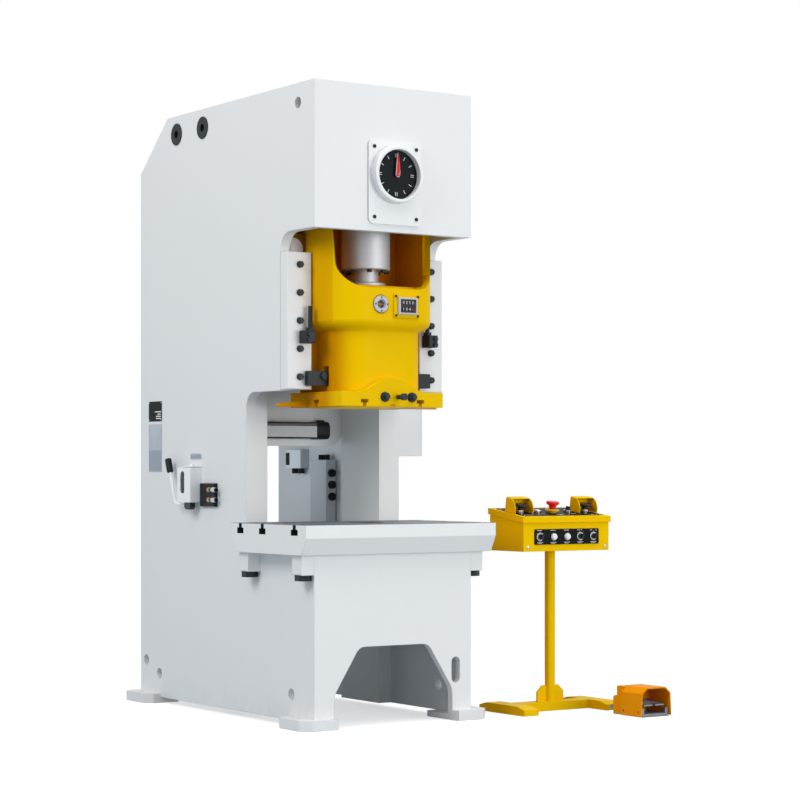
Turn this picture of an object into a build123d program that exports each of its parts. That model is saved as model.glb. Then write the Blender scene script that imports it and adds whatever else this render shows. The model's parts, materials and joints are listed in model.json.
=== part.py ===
# Pneumatic power press: C-frame, slide and drive, control stand and foot switch.
# X runs right seen from the front, Y runs to the back, Z runs up.
# The origin lies on the floor, in the middle of the anchor bolts.
import math
import os

from build123d import *

os.makedirs("parts", exist_ok=True)

# Allowances
over = 5.0
seat_gap = 0.05
run_gap = 0.08
air_gap = 0.5

# Frame
half_width = 360.0
side_thick = 40.0
half_depth = 702.0
front_thick = 30.0
inner_half = half_width - side_thick
front_y = -half_depth
plate_y = front_y + front_thick
frame_top = 2440.0
frame_low = 24.0
table_top = 657.0
head_low_from_top = -555.0
head_low = frame_top + head_low_from_top
seat_y_from_front = 246.0
seat_y = front_y + seat_y_from_front
throat_high_from_top = -1160.0
throat_high = frame_top + throat_high_from_top
throat_y_from_front = 508.0
throat_y = front_y + throat_y_from_front
head_corner = 70.0
throat_corner = 60.0
slope_y_from_back = -241.0
slope_y = half_depth + slope_y_from_back
slope_z_from_top = -205.0
slope_z = frame_top + slope_z_from_top

# Holes in the side plates, as Y and Z
lift_hole_in = (117.0, -75.0)
lift_hole = (front_y + lift_hole_in[0], frame_top + lift_hole_in[1])
lift_hole_r = 22.0
bush_in = [(-542.0, -76.0), (-320.0, -76.0)]
bush_places = [(half_depth + y, frame_top + z) for y, z in bush_in]
bush_r = 45.0
bush_bore = 16.0
bush_proud = 3.0
rear_holes_in = [(-50.0, 172.0), (-167.0, 123.0)]
front_hole_in = (166.0, 122.0)
base_holes = [(half_depth + y, z) for y, z in rear_holes_in]
base_holes.append((front_y + front_hole_in[0], front_hole_in[1]))

# Arch and slot in the base front plate
arch_half_from_side = -88.0
arch_half = half_width + arch_half_from_side
arch_spring = 124.0
arch_top_half_from_side = -202.0
arch_top_half = half_width + arch_top_half_from_side
arch_top = 304.0
arch_top_r = 45.0
arch_low_r = 80.0
leg_slot_x_from_side = -72.0
leg_slot_x = half_width + leg_slot_x_from_side
leg_slot_z = 197.0
leg_slot_long = 101.0
leg_slot_wide = 40.0

# Cross plates
top_thick = 20.0
slope_drop = 27.0
bend_back = 7.0
table_thick = 40.0
table_back_from_front = 795.0
table_back = front_y + table_back_from_front
scrap_hole_r = 75.0
wall_y_from_front = 795.0
wall_y = front_y + wall_y_from_front
wall_thick = 30.0
wall_half_from_side = -94.0
wall_half = half_width + wall_half_from_side
wall_low_from_top = -1365.0
wall_low = frame_top + wall_low_from_top
wall_step_z_from_top = -1140.0
wall_step_z = frame_top + wall_step_z_from_top
wall_corner = 66.0
bearing_low_from_top = -450.0
bearing_low = frame_top + bearing_low_from_top
front_walls_in = [(42.0, 102.0), (302.0, 362.0)]
rear_wall_y = (180.0, 230.0)
bearing_walls = [(front_y + near, front_y + far) for near, far in front_walls_in]
bearing_walls.append(rear_wall_y)
shelf_z_from_top = -1060.0
shelf_z = frame_top + shelf_z_from_top
shelf_thick = 20.0
shelf_y_from_back = (-372.0, -32.0)
shelf_y = tuple(half_depth + step for step in shelf_y_from_back)
rear_arch_top = 450.0
rear_arch_half_from_side = -85.0
rear_arch_half = half_width + rear_arch_half_from_side
rear_arch_r = 60.0

# Inner columns and rear guide blocks
column_in_from_side = -96.0
column_in = half_width + column_in_from_side
column_back_from_front = 795.0
column_back = front_y + column_back_from_front
guide_gap = 1.0
guide_back_from_front = 452.0
guide_back = front_y + guide_back_from_front
guide_low_from_top = -1150.0
guide_low = frame_top + guide_low_from_top
guide_high_from_top = -630.0
guide_high = frame_top + guide_high_from_top

# Feet and anchor bolts
foot_in_from_side = -84.0
foot_in = half_width + foot_in_from_side
foot_out_from_side = 67.0
foot_out = half_width + foot_out_from_side
foot_y_in_from_back = -179.0
foot_y_in = half_depth + foot_y_in_from_back
foot_y_out_from_back = 39.0
foot_y_out = half_depth + foot_y_out_from_back
foot_thick = 40.0
foot_cut = 35.0
anchor_x_from_side = 36.0
anchor_x = half_width + anchor_x_from_side
anchor_y_from_back = -70.0
anchor_y = half_depth + anchor_y_from_back
anchor_r = 15.0

# Bolster and its ears
ear_out_from_side = 56.0
ear_out = half_width + ear_out_from_side
ear_low = 581.0
ear_front_from_front = (0.0, 68.0)
ear_front = tuple(front_y + step for step in ear_front_from_front)
ear_rear_from_front = (396.0, 467.0)
ear_rear = tuple(front_y + step for step in ear_rear_from_front)
ear_cut = 3.0
bolster_half_from_side = 75.0
bolster_half = half_width + bolster_half_from_side
bolster_front_from_front = -63.0
bolster_front = front_y + bolster_front_from_front
bolster_rear_from_front = 496.0
bolster_rear = front_y + bolster_rear_from_front
bolster_top = 770.0
bolster_knee = 720.0
bolster_tuck = 32.0
slot_places_from_front = [424.0, 256.0, 20.0]
slot_places = [front_y + step for step in slot_places_from_front]
slot_neck = 22.0
slot_neck_deep = 18.0
slot_head = 48.0
slot_head_deep = 22.0
nut_across = 55.0
nut_high = 22.0

# Gibs and their bolts
gib_in_from_side = -110.0
gib_in = half_width + gib_in_from_side
gib_front_from_front = 196.0
gib_front = front_y + gib_front_from_front
gib_low_from_top = -1156.0
gib_low = frame_top + gib_low_from_top
gib_high_from_top = -630.0
gib_high = frame_top + gib_high_from_top
gib_edge = 3.0
gib_bolt_x_from_side = -56.0
gib_bolt_x = half_width + gib_bolt_x_from_side
gib_bolt_z_from_top = [-1108.0, -1000.5, -893.0, -785.5, -678.0]
gib_bolt_z = [frame_top + step for step in gib_bolt_z_from_top]
bolt_across = 23.0
bolt_high = 11.0
bolt_flange_r = 13.4
bolt_flange = 3.0
bolt_dome = 2.0

# Crank drive
crank_z_from_top = -336.0
crank_z = frame_top + crank_z_from_top
crank_y_from_front = 202.0
crank_y = front_y + crank_y_from_front
throw = 70.0
journal_r = 55.0
pin_r = 45.0
web_r = 66.0
web_pin_r = 58.0
web_thick = 40.0
pin_half = 50.0
crank_front_from_front = 47.0
crank_front = front_y + crank_front_from_front
crank_rear = 480.0
bush_wall = 16.0
stub_r = 4.0
stub_front_from_front = -33.0
stub_front = front_y + stub_front_from_front

# Connecting rod, with an open slot round the crank pin
rod_r = 95.0
rod_low_from_top = -688.0
rod_low = frame_top + rod_low_from_top
rod_high_from_top = -430.0
rod_high = frame_top + rod_high_from_top
rod_half = 45.0
rod_shank_half = 62.0
rod_top_from_top = -320.0
rod_top = frame_top + rod_top_from_top
rod_edge = 4.0
yoke_half_high = 100.0
yoke_left = -88.0
yoke_right = 158.0
yoke_r = 95.0
yoke_slot_half = 62.0
yoke_slot_left = -48.5
yoke_slot_right = 118.5
screw_r = 50.0
screw_low_from_top = -750.0
screw_low = frame_top + screw_low_from_top
screw_top_from_top = -640.0
screw_top = frame_top + screw_top_from_top
cap_r = 78.0
cap_high = 14.0

# Ram
ram_half_from_side = -115.0
ram_half = half_width + ram_half_from_side
ram_front_from_front = 10.0
ram_front = front_y + ram_front_from_front
ram_rear_from_front = 372.0
ram_rear = front_y + ram_rear_from_front
ram_top_from_top = -480.0
ram_top = frame_top + ram_top_from_top
ram_corner = 150.0
neck_half_from_side = -165.0
neck_half = half_width + neck_half_from_side
neck_front_from_front = 42.0
neck_front = front_y + neck_front_from_front
neck_corner = 118.0
shoulder_zs_from_top = [-935.0, -930.0, -922.0, -910.0, -899.0, -892.0]
shoulder_zs = [frame_top + step for step in shoulder_zs_from_top]
shoulder_shares = [0.0, 0.1, 0.42, 0.8, 0.96, 1.0]
pocket_half_from_side = -148.0
pocket_half = half_width + pocket_half_from_side
pocket_corner = 80.0
pocket_front_from_front = 62.0
pocket_front = front_y + pocket_front_from_front
pocket_rear_from_front = 312.0
pocket_rear = front_y + pocket_rear_from_front
pocket_floor_from_top = -750.0
pocket_floor = frame_top + pocket_floor_from_top
mouth_low_from_top = -768.0
mouth_low = frame_top + mouth_low_from_top
mouth_low_half_from_side = -146.0
mouth_low_half = half_width + mouth_low_half_from_side
mouth_high_half_from_side = -132.0
mouth_high_half = half_width + mouth_high_half_from_side
mouth_corner = 100.0
mouth_back_from_front = 112.0
mouth_back = front_y + mouth_back_from_front
flange_out_from_side = -44.0
flange_out = half_width + flange_out_from_side
flange_rear_from_front = 362.0
flange_rear = front_y + flange_rear_from_front
flange_low_from_top = -1140.0
flange_low = frame_top + flange_low_from_top
flange_high_from_top = -555.0
flange_high = frame_top + flange_high_from_top
ram_plate_half_from_side = -125.0
ram_plate_half = half_width + ram_plate_half_from_side
ram_plate_rear_from_front = 377.0
ram_plate_rear = front_y + ram_plate_rear_from_front
ram_low_from_top = -1222.0
ram_low = frame_top + ram_low_from_top
ram_plate_top_from_top = -1165.0
ram_plate_top = frame_top + ram_plate_top_from_top
ram_plate_cut = 3.0
apron_back_from_front = 102.0
apron_back = front_y + apron_back_from_front
hump_half = 128.0
hump_top_half = 36.0
hump_top_from_top = -1113.0
hump_top = frame_top + hump_top_from_top
hump_r = 125.0
wing_out_from_side = 8.0
wing_out = half_width + wing_out_from_side
wing_front_from_front = 247.0
wing_front = front_y + wing_front_from_front
wing_back_from_front = 267.0
wing_back = front_y + wing_back_from_front
wing_root_from_top = -1191.0
wing_root = frame_top + wing_root_from_top
wing_tip_from_top = -1209.0
wing_tip = frame_top + wing_tip_from_top
die_slot_xs = [-128.0, 128.0]
die_slot_y_from_front = 188.0
die_slot_y = front_y + die_slot_y_from_front
die_neck = 16.0
die_neck_deep = 14.0
die_head = 34.0
die_head_deep = 13.0
die_slot_long = 130.0
groove_wide = 24.0
groove_deep = 9.0
shank_r = 25.0
shank_deep = 70.0
kick_r = 8.0
kick_y_from_front = 187.0
kick_y = front_y + kick_y_from_front
port_x = -55.0
port_z_from_top = -831.0
port_z = frame_top + port_z_from_top
port_r = 33.0
port_seat_r = 36.0
port_deep = 20.0
port_bore = 19.0
port_proud = 6.0
pad_x = 61.0
pad_z_from_top = -835.0
pad_z = frame_top + pad_z_from_top
pad_wide = 118.0
pad_high = 92.0
pad_front_from_front = 4.0
pad_front = front_y + pad_front_from_front
counter_wide = 86.0
counter_high = 66.0
counter_proud = 12.0
counter_rim = 7.0
counter_sunk = 6.0

# Knock-out
bar_half_from_side = -77.0
bar_half = half_width + bar_half_from_side
bar_front_from_front = 168.0
bar_front = front_y + bar_front_from_front
bar_back_from_front = 192.0
bar_back = front_y + bar_back_from_front
bar_low_from_top = -1142.0
bar_low = frame_top + bar_low_from_top
bar_high_from_top = -1085.0
bar_high = frame_top + bar_high_from_top
bar_slot_front_from_front = 162.0
bar_slot_front = front_y + bar_slot_front_from_front
bar_slot_back_from_front = 198.0
bar_slot_back = front_y + bar_slot_back_from_front
bar_slot_low_from_top = -1142.5
bar_slot_low = frame_top + bar_slot_low_from_top
bar_slot_high_from_top = -1066.0
bar_slot_high = frame_top + bar_slot_high_from_top
bar_bolt_x_from_side = -146.0
bar_bolt_x = half_width + bar_bolt_x_from_side
bar_bolt_z_from_top = -1104.0
bar_bolt_z = frame_top + bar_bolt_z_from_top
bar_bolt_across = 27.0
bar_bolt_high = 10.0
stop_in_from_side = -97.0
stop_in = half_width + stop_in_from_side
stop_out_from_side = -54.0
stop_out = half_width + stop_out_from_side
stop_front_from_front = 146.0
stop_front = front_y + stop_front_from_front
stop_low_from_top = -980.0
stop_low = frame_top + stop_low_from_top
stop_high_from_top = -932.0
stop_high = frame_top + stop_high_from_top
stop_screw_x_from_side = -88.0
stop_screw_x = half_width + stop_screw_x_from_side
stop_screw_y_from_front = 172.0
stop_screw_y = front_y + stop_screw_y_from_front
stop_screw_r = 8.0
stop_screw_top_from_top = -837.0
stop_screw_top = frame_top + stop_screw_top_from_top
stop_screw_low_from_top = -981.0
stop_screw_low = frame_top + stop_screw_low_from_top
stop_nut_across = 30.0
stop_nut_high = 12.0
stop_cap_r = 9.0
stop_cap_high = 8.0
stop_cap_x_from_side = -68.0
stop_cap_x = half_width + stop_cap_x_from_side
stop_cap_zs_from_top = [-970.0, -946.0]
stop_cap_zs = [frame_top + step for step in stop_cap_zs_from_top]

# Clamp studs on the ram
stud_xs = [-37.0, 87.0]
stud_z_from_top = -1185.0
stud_z = frame_top + stud_z_from_top
stud_r = 10.0
stud_front_from_front = -14.0
stud_front = front_y + stud_front_from_front
stud_nut_across = 31.0
stud_nut_high = 13.0
set_head = 26.0
set_front_from_front = -38.0
set_front = front_y + set_front_from_front
set_head_long = 13.0
set_x = 24.0
set_shank_r = 9.0

# Dial
dial_wide = 242.0
dial_low_from_top = -527.0
dial_low = frame_top + dial_low_from_top
dial_high_from_top = -207.0
dial_high = frame_top + dial_high_from_top
dial_corner = 20.0
dial_plate_thick = 8.0
bezel_r = 110.0
bezel_in = 95.0
bezel_deep = 32.0
bezel_edge = 7.0
face_thick = 6.0
face_hole = 6.0
pointer_long = 80.0
pointer_tip = 22.0
pointer_half = 6.5
pointer_hub_r = 8.5
pointer_front_from_front = -31.0
pointer_front = front_y + pointer_front_from_front
pointer_thick = 4.0

# Work lamp
lamp_half_from_side = -218.0
lamp_half = half_width + lamp_half_from_side
lamp_low_from_top = -1335.0
lamp_low = frame_top + lamp_low_from_top
lamp_high_from_top = -1267.0
lamp_high = frame_top + lamp_high_from_top
lamp_deep = 52.0
lamp_round = 6.0
lamp_x = -30.0
lamp_tab_in = 37.0
lamp_cap_long = 62.0
lamp_cap_more = 2.0
lamp_cap_round = 24.0
lamp_tab = (26.0, 20.0, 9.0)

# Boxes on the right inner wall
sensor_x_from_side = -82.0
sensor_x = half_width + sensor_x_from_side
sensor_y = (445.0, 576.0)
sensor_z_from_top = (-1457.0, -1375.0)
sensor_z = tuple(frame_top + step for step in sensor_z_from_top)
junction_x_from_side = -93.0
junction_x = half_width + junction_x_from_side
junction_y = (220.0, 349.0)
junction_z_from_top = (-1750.0, -1421.0)
junction_z = tuple(frame_top + step for step in junction_z_from_top)
box_edge = 3.0
sensor_slot = (34.0, 54.0, 6.0)
sensor_slot_in = 21.0
plug_zs_from_top = [-1477.0, -1527.0, -1577.0]
plug_zs = [frame_top + step for step in plug_zs_from_top]
plug_r = 17.0
plug_long = 14.0
gland_high = 22.0
gland_across = 27.0

# Electrical cabinet
cabinet_front = -75.0
cabinet_rear_from_back = -177.0
cabinet_rear = half_depth + cabinet_rear_from_back
cabinet_out_from_side = 188.0
cabinet_out = half_width + cabinet_out_from_side
cabinet_low_from_top = -1406.0
cabinet_low = frame_top + cabinet_low_from_top
cabinet_high_from_top = -640.0
cabinet_high = frame_top + cabinet_high_from_top
cabinet_wall = 3.0
door_thick = 12.0
door_edge = 3.0
hinge_r = 6.0
hinge_inset = 116.0
hinge_zs = [cabinet_low + hinge_inset, cabinet_high - hinge_inset]
hinge_long = 60.0
lock_r = 14.0
lock_proud = 8.0
lock_z = (cabinet_low + cabinet_high) / 2
lock_inset = 40.0

# Hand lubricator
tank_out_from_side = 60.0
tank_out = half_width + tank_out_from_side
tank_y = (166.0, 272.0)
tank_z = (844.0, 986.0)
tank_r = 8.0
sight_y = 219.0
sight_z = (880.0, 971.0)
sight_wide = 26.0
sight_deep = 3.0
hub_r = 13.0
hub_in_from_side = 26.5
hub_in = half_width + hub_in_from_side
hub_out_from_side = 39.5
hub_out = half_width + hub_out_from_side
fork_in_from_side = 26.0
fork_in = half_width + fork_in_from_side
fork_slot_from_side = 40.0
fork_slot = half_width + fork_slot_from_side
fork_out_from_side = 45.0
fork_out = half_width + fork_out_from_side
fork_y = (184.0, 234.0)
fork_back_from_side = 21.0
fork_back = half_width + fork_back_from_side
fork_web_y = 188.0
fork_low = 815.0
fork_cut = 10.0
lever_pin_r = 6.0
lever_r = 6.0
lever_out_from_side = 33.0
lever_out = half_width + lever_out_from_side
lever_path = [(208.0, 828.0), (330.0, 838.0), (376.0, 966.0)]
lever_bend = 24.0
grip_end = (396.0, 1022.0)
grip_r = 14.0
grip_edge = 5.0
manifold_y = (36.0, 160.0)
manifold_out_from_side = 14.0
manifold_out = half_width + manifold_out_from_side
manifold_z = (828.0, 922.0)
fitting_zs = [896.0, 856.0]
fitting_x_from_side = 23.0
fitting_x = half_width + fitting_x_from_side
fitting_y = (33.0, 69.0)
fitting_r = 8.6
fitting_nut_r = 9.4
fitting_end = 7.0
fitting_bore = 4.6
fitting_deep = 10.0

# Flywheel, motor and belts
wheel_r = 258.0
wheel_y = (262.0, 372.0)
wheel_hub_r = 95.0
wheel_web = (300.0, 334.0)
wheel_rim = 48.0
wheel_hole_r = 42.0
wheel_hole_at = 152.0
belt_ys = [290.0, 317.0, 344.0]
belt_wide = 17.0
belt_deep = 11.0
belt_thick = 10.5
belt_gap = 0.6
motor_z_from_top = -927.0
motor_z = frame_top + motor_z_from_top
motor_r = 108.0
motor_front = 396.0
motor_room = 62.0
motor_y = (motor_front, half_depth - motor_room)
motor_fin_r = 116.0
motor_fins = 28
motor_fin_wide = 5.0
motor_fin_in = (24.0, -40.0)
motor_fin_y = (motor_y[0] + motor_fin_in[0], motor_y[1] + motor_fin_in[1])
motor_foot = (200.0, motor_fin_y[1] - motor_fin_y[0], 16.0)
motor_shaft_r = 19.0
motor_shaft_y = 266.0
pulley_r = 76.0
pulley_y = (272.0, 362.0)

# Rear cover
cover_thick = 12.0
cover_z_from_top = (-1330.0, -240.0)
cover_z = tuple(frame_top + step for step in cover_z_from_top)
vent_count = 9
vent_pitch = 34.0
vent_wide = 360.0
vent_high = 12.0
vent_z_from_top = -1020.0
vent_z = frame_top + vent_z_from_top

# Control stand
console_x_from_side = 465.0
console_x = half_width + console_x_from_side
post_y = -605.0
post_r = 21.0
arm_in = 172.0
arm_out = 245.0
arm_front = -757.0
arm_rear = -455.0
arm_high = 36.0
arm_toe = 24.0
arm_slope = 46.0
bar_y = (-640.0, -570.0)
gusset_wide = 46.0
gusset_high = 66.0
gusset_cut = 26.0
gusset_thick = 8.0
box_half = 217.0
box_front = -715.0
box_back = -490.0
box_low = 650.0
box_wall = 4.0
lid_front_z = 788.0
lid_back_z = 821.0
lid_high = 24.0
lid_past = 6.0
lid_thick = 5.0
lid_panel = (404.0, 190.0, 2.0)
front_panel = (327.0, 62.0, 3.0)
panel_corner = 5.0
panel_z = 708.0

# Controls on the stand, placed from the middle of the box
control_y = -622.0
palm_x = 164.0
palm_r = 30.0
palm_high = 16.0
palm_lift = 30.0
palm_stem_r = 12.0
palm_collar_r = 17.0
palm_collar_high = 12.0
palm_travel = 6.0
guard_wide = 94.0
guard_back = 39.0
guard_deep = 66.0
guard_high = 60.0
guard_top_deep = 25.0
guard_bulge_share = 0.72
guard_thick = 4.0
guard_corner = 8.0
stop_x = -3.0
stop_r = 26.5
stop_cap = 20.0
stop_neck_r = 15.0
stop_neck = 15.0
stop_disc_r = 29.0
stop_disc_high = 8.0
stop_skirt_r = 19.0
stop_skirt_high = 6.0
top_button_x = -78.0
top_selector_x = 78.0
ring_r = 17.0
ring_high = 9.0
small_r = 11.5
small_high = 14.0
knob_high = 8.0
knob_bar = (7.0, 24.0, 12.0)
front_pitch = 68.0
front_xs = [step * front_pitch for step in (-2, -1, 0, 1, 2)]
front_ring_r = 14.5
front_ring = 4.0
white_r = 11.5
white_proud = 9.0

# Foot switch
pedal_x_from_side = 656.0
pedal_x = half_width + pedal_x_from_side
hood_half = 79.0
hood_top_half = 48.0
hood_shoulder_half = 74.0
hood_high = 116.0
hood_shoulder = 93.0
hood_wall = 5.0
hood_front = -1045.0
hood_back = -918.0
hood_low = 3.0
block_back = -876.0
block_in = 12.0
heel_back = -858.0
heel_high = 74.0
heel_half = 66.0
tray_half = 66.0
tray_front = -1036.0
tray_back = -922.0
tray_floor = 12.0
tray_cheek = 34.0
tray_cheek_thick = 12.0
pedal_half = 52.0
pedal_front = -1030.0
pedal_hinge_y = -930.0
pedal_hinge_z = 52.0
pedal_thick = 6.0
pedal_front_z = 48.0
pedal_hub_r = 7.0
pedal_notch = 14.0
pedal_notch_deep = 26.0
pedal_pin_r = 3.0
lug_thick = 5.0
lug_half_long = 9.0
gland_x_from_side = 610.0
gland_x = half_width + gland_x_from_side
cord_gland_z = 24.0
cord_gland_r = 11.0
cord_gland_long = 30.0


def front_plane(y):
    # A sketch plane across the press at depth y, which extrudes towards the front.
    return Plane.XZ.offset(-y)


def box_between(xs, ys, zs, mode=Mode.ADD):
    # A block between two corners.
    middle = ((xs[0] + xs[1]) / 2, (ys[0] + ys[1]) / 2, (zs[0] + zs[1]) / 2)
    with Locations(middle):
        Box(abs(xs[1] - xs[0]), abs(ys[1] - ys[0]), abs(zs[1] - zs[0]), mode=mode)


def save(piece, name):
    piece.part.label = name
    export_step(piece.part, f"parts/{name}.step")


# Side plate, cut as one C outline
with BuildPart() as side_plate_left:
    with BuildSketch(Plane.YZ.offset(-half_width)) as outline:
        with BuildLine():
            Polyline(
                (plate_y, frame_low),
                (half_depth, frame_low),
                (half_depth, slope_z),
                (slope_y, frame_top),
                (plate_y, frame_top),
                (plate_y, head_low),
                (seat_y, head_low),
                (seat_y, throat_high),
                (throat_y, throat_high),
                (throat_y, table_top),
                (plate_y, table_top),
                close=True,
            )
        make_face()
        fillet(outline.vertices().sort_by_distance((seat_y, head_low))[0], head_corner)
        fillet(outline.vertices().sort_by_distance((throat_y, throat_high))[0], throat_corner)
        with Locations(lift_hole, *base_holes):
            Circle(lift_hole_r, mode=Mode.SUBTRACT)
        with Locations(*bush_places):
            Circle(bush_r + seat_gap, mode=Mode.SUBTRACT)
    extrude(amount=side_thick)
save(side_plate_left, "side_plate_left")

with BuildPart() as side_plate_right:
    mirror(side_plate_left.part, about=Plane.YZ)
save(side_plate_right, "side_plate_right")

# Head and base front plates
with BuildPart() as front_plates:
    with BuildSketch(front_plane(plate_y)):
        with Locations((0, (head_low + frame_top) / 2)):
            Rectangle(2 * half_width, frame_top - head_low)
        with Locations((0, crank_z)):
            Circle(stub_r + air_gap, mode=Mode.SUBTRACT)
    extrude(amount=front_thick)
    with BuildSketch(front_plane(plate_y)):
        with Locations((0, (frame_low + table_top) / 2)):
            Rectangle(2 * half_width, table_top - frame_low)
        with BuildSketch(mode=Mode.SUBTRACT) as arch:
            with BuildLine():
                Polyline(
                    (-arch_half, frame_low - over),
                    (-arch_half, arch_spring),
                    (-arch_top_half, arch_top),
                    (arch_top_half, arch_top),
                    (arch_half, arch_spring),
                    (arch_half, frame_low - over),
                    close=True,
                )
            make_face()
            corners = arch.vertices().sort_by(Axis.Y)
            fillet(corners[4:], arch_top_r)
            corners = arch.vertices().sort_by(Axis.Y)
            fillet(corners[2:4], arch_low_r)
        with Locations((leg_slot_x, leg_slot_z)):
            SlotOverall(leg_slot_long, leg_slot_wide, rotation=90, mode=Mode.SUBTRACT)
    extrude(amount=front_thick)
save(front_plates, "front_plates")

# Plates that tie the two sides together
bush_out = journal_r + run_gap + bush_wall
with BuildPart() as cross_plates:
    with BuildSketch(Plane.YZ.offset(-inner_half)):
        with BuildLine():
            Polyline(
                (plate_y, frame_top),
                (slope_y, frame_top),
                (half_depth, slope_z),
                (half_depth, slope_z - slope_drop),
                (slope_y - bend_back, frame_top - top_thick),
                (plate_y, frame_top - top_thick),
                close=True,
            )
        make_face()
    extrude(amount=2 * inner_half)
    box_between((-inner_half, inner_half), (plate_y, throat_y), (table_top - table_thick, table_top))
    box_between((-column_in, column_in), (throat_y, table_back), (table_top - table_thick, table_top))
    with Locations((0, crank_y, table_top)):
        Cylinder(scrap_hole_r, 4 * table_thick, mode=Mode.SUBTRACT)
    with BuildSketch(front_plane(wall_y + wall_thick)) as wall:
        with Locations((0, (wall_low + wall_step_z) / 2)):
            Rectangle(2 * wall_half, wall_step_z - wall_low)
        fillet(wall.vertices().group_by(Axis.Y)[0], wall_corner)
        with Locations((0, (wall_step_z + head_low) / 2)):
            Rectangle(2 * inner_half, head_low - wall_step_z)
    extrude(amount=wall_thick)
    for wall_front, wall_back in bearing_walls:
        with BuildSketch(front_plane(wall_back)):
            with Locations((0, (bearing_low + frame_top - top_thick) / 2)):
                Rectangle(2 * inner_half, frame_top - top_thick - bearing_low)
            with Locations((0, crank_z)):
                Circle(bush_out + seat_gap, mode=Mode.SUBTRACT)
        extrude(amount=wall_back - wall_front)
    box_between((-inner_half, inner_half), shelf_y, (shelf_z - shelf_thick, shelf_z))
    with BuildSketch(front_plane(half_depth)) as rear_foot:
        with Locations((0, (frame_low + table_top) / 2)):
            Rectangle(2 * inner_half, table_top - frame_low)
        with BuildSketch(mode=Mode.SUBTRACT) as rear_arch:
            with Locations((0, (frame_low - over + rear_arch_top) / 2)):
                Rectangle(2 * rear_arch_half, rear_arch_top - frame_low + over)
            fillet(rear_arch.vertices().group_by(Axis.Y)[-1], rear_arch_r)
    extrude(amount=front_thick)
save(cross_plates, "cross_plates")

# Inner columns and the blocks that guide the ram from behind
with BuildPart() as inner_columns:
    box_between((column_in, inner_half), (throat_y, column_back), (frame_low, head_low))
    box_between((ram_half + guide_gap, inner_half), (flange_rear + run_gap, guide_back), (guide_low, guide_high))
    mirror(about=Plane.YZ)
save(inner_columns, "inner_columns")

# Foot plates, each notched under the frame
with BuildPart() as foot_plates:
    with BuildSketch() as foot:
        with Locations(((foot_in + foot_out) / 2, (foot_y_in + foot_y_out) / 2)):
            Rectangle(foot_out - foot_in, foot_y_out - foot_y_in)
        chamfer(foot.vertices().group_by(Axis.X)[-1], foot_cut)
        with Locations((anchor_x, anchor_y)):
            Circle(anchor_r, mode=Mode.SUBTRACT)
    extrude(amount=foot_thick)
    mirror(about=Plane.YZ)
    mirror(about=Plane.XZ)
    box_between(
        (-half_width, half_width), (-half_depth, half_depth), (frame_low, foot_thick + over), mode=Mode.SUBTRACT
    )
save(foot_plates, "foot_plates")

# Ears that carry the ends of the bolster
with BuildPart() as bolster_ears:
    for ear_near, ear_far in (ear_front, ear_rear):
        with BuildSketch(front_plane(ear_far)) as ear:
            with Locations(((half_width + ear_out) / 2, (ear_low + table_top) / 2)):
                Rectangle(ear_out - half_width, table_top - ear_low)
            chamfer(ear.vertices().sort_by_distance((ear_out, ear_low))[0], ear_cut)
        extrude(amount=ear_far - ear_near)
    mirror(about=Plane.YZ)
save(bolster_ears, "bolster_ears")

# Bolster with three slots for clamp bolts
with BuildPart() as bolster:
    with BuildSketch(Plane.YZ.offset(-bolster_half)):
        with BuildLine():
            Polyline(
                (bolster_front, bolster_top),
                (bolster_rear, bolster_top),
                (bolster_rear, bolster_knee),
                (bolster_rear - bolster_tuck, table_top),
                (bolster_front + bolster_tuck, table_top),
                (bolster_front, bolster_knee),
                close=True,
            )
        make_face()
        with Locations(*[(y, bolster_top - slot_neck_deep / 2) for y in slot_places]):
            Rectangle(slot_neck, slot_neck_deep, mode=Mode.SUBTRACT)
        with Locations(*[(y, bolster_top - slot_neck_deep - slot_head_deep / 2) for y in slot_places]):
            Rectangle(slot_head, slot_head_deep, mode=Mode.SUBTRACT)
    extrude(amount=2 * bolster_half)
    with Locations((0, crank_y, bolster_knee)):
        Cylinder(scrap_hole_r, bolster_top - ear_low, mode=Mode.SUBTRACT)
save(bolster, "bolster")

# Lifting bushes in the side plates
with BuildPart() as lifting_bushes:
    with BuildSketch(Plane.YZ.offset(inner_half)):
        with Locations(*bush_places):
            Circle(bush_r)
            Circle(bush_bore, mode=Mode.SUBTRACT)
    extrude(amount=side_thick + bush_proud)
    mirror(about=Plane.YZ)
save(lifting_bushes, "lifting_bushes")

# Gib bolts and the nuts under the bolster ears
with BuildPart() as hex_bolts:
    with BuildSketch(front_plane(gib_front)):
        with Locations(*[(gib_bolt_x, z) for z in gib_bolt_z]):
            Circle(bolt_flange_r)
    extrude(amount=bolt_flange)
    with BuildSketch(front_plane(gib_front - bolt_flange)):
        with Locations(*[(gib_bolt_x, z) for z in gib_bolt_z]):
            RegularPolygon(bolt_across / 2, 6, major_radius=False)
    extrude(amount=bolt_high)
    chamfer(hex_bolts.faces().group_by(Axis.Y)[0].edges(), bolt_dome, bolt_dome / 2)
    with BuildSketch(Plane.XY.offset(ear_low - nut_high)):
        for ear_near, ear_far in (ear_front, ear_rear):
            with Locations(((half_width + ear_out) / 2, (ear_near + ear_far) / 2)):
                RegularPolygon(nut_across / 2, 6, major_radius=False, rotation=30)
    extrude(amount=nut_high)
    mirror(about=Plane.YZ)
save(hex_bolts, "hex_bolts")

# Gibs that hold the ram against the frame
with BuildPart() as gibs:
    box_between((gib_in, half_width), (gib_front, seat_y), (gib_low, gib_high))
    chamfer(gibs.faces().sort_by(Axis.Y)[0].edges(), gib_edge)
    mirror(about=Plane.YZ)
save(gibs, "gibs")

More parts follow.
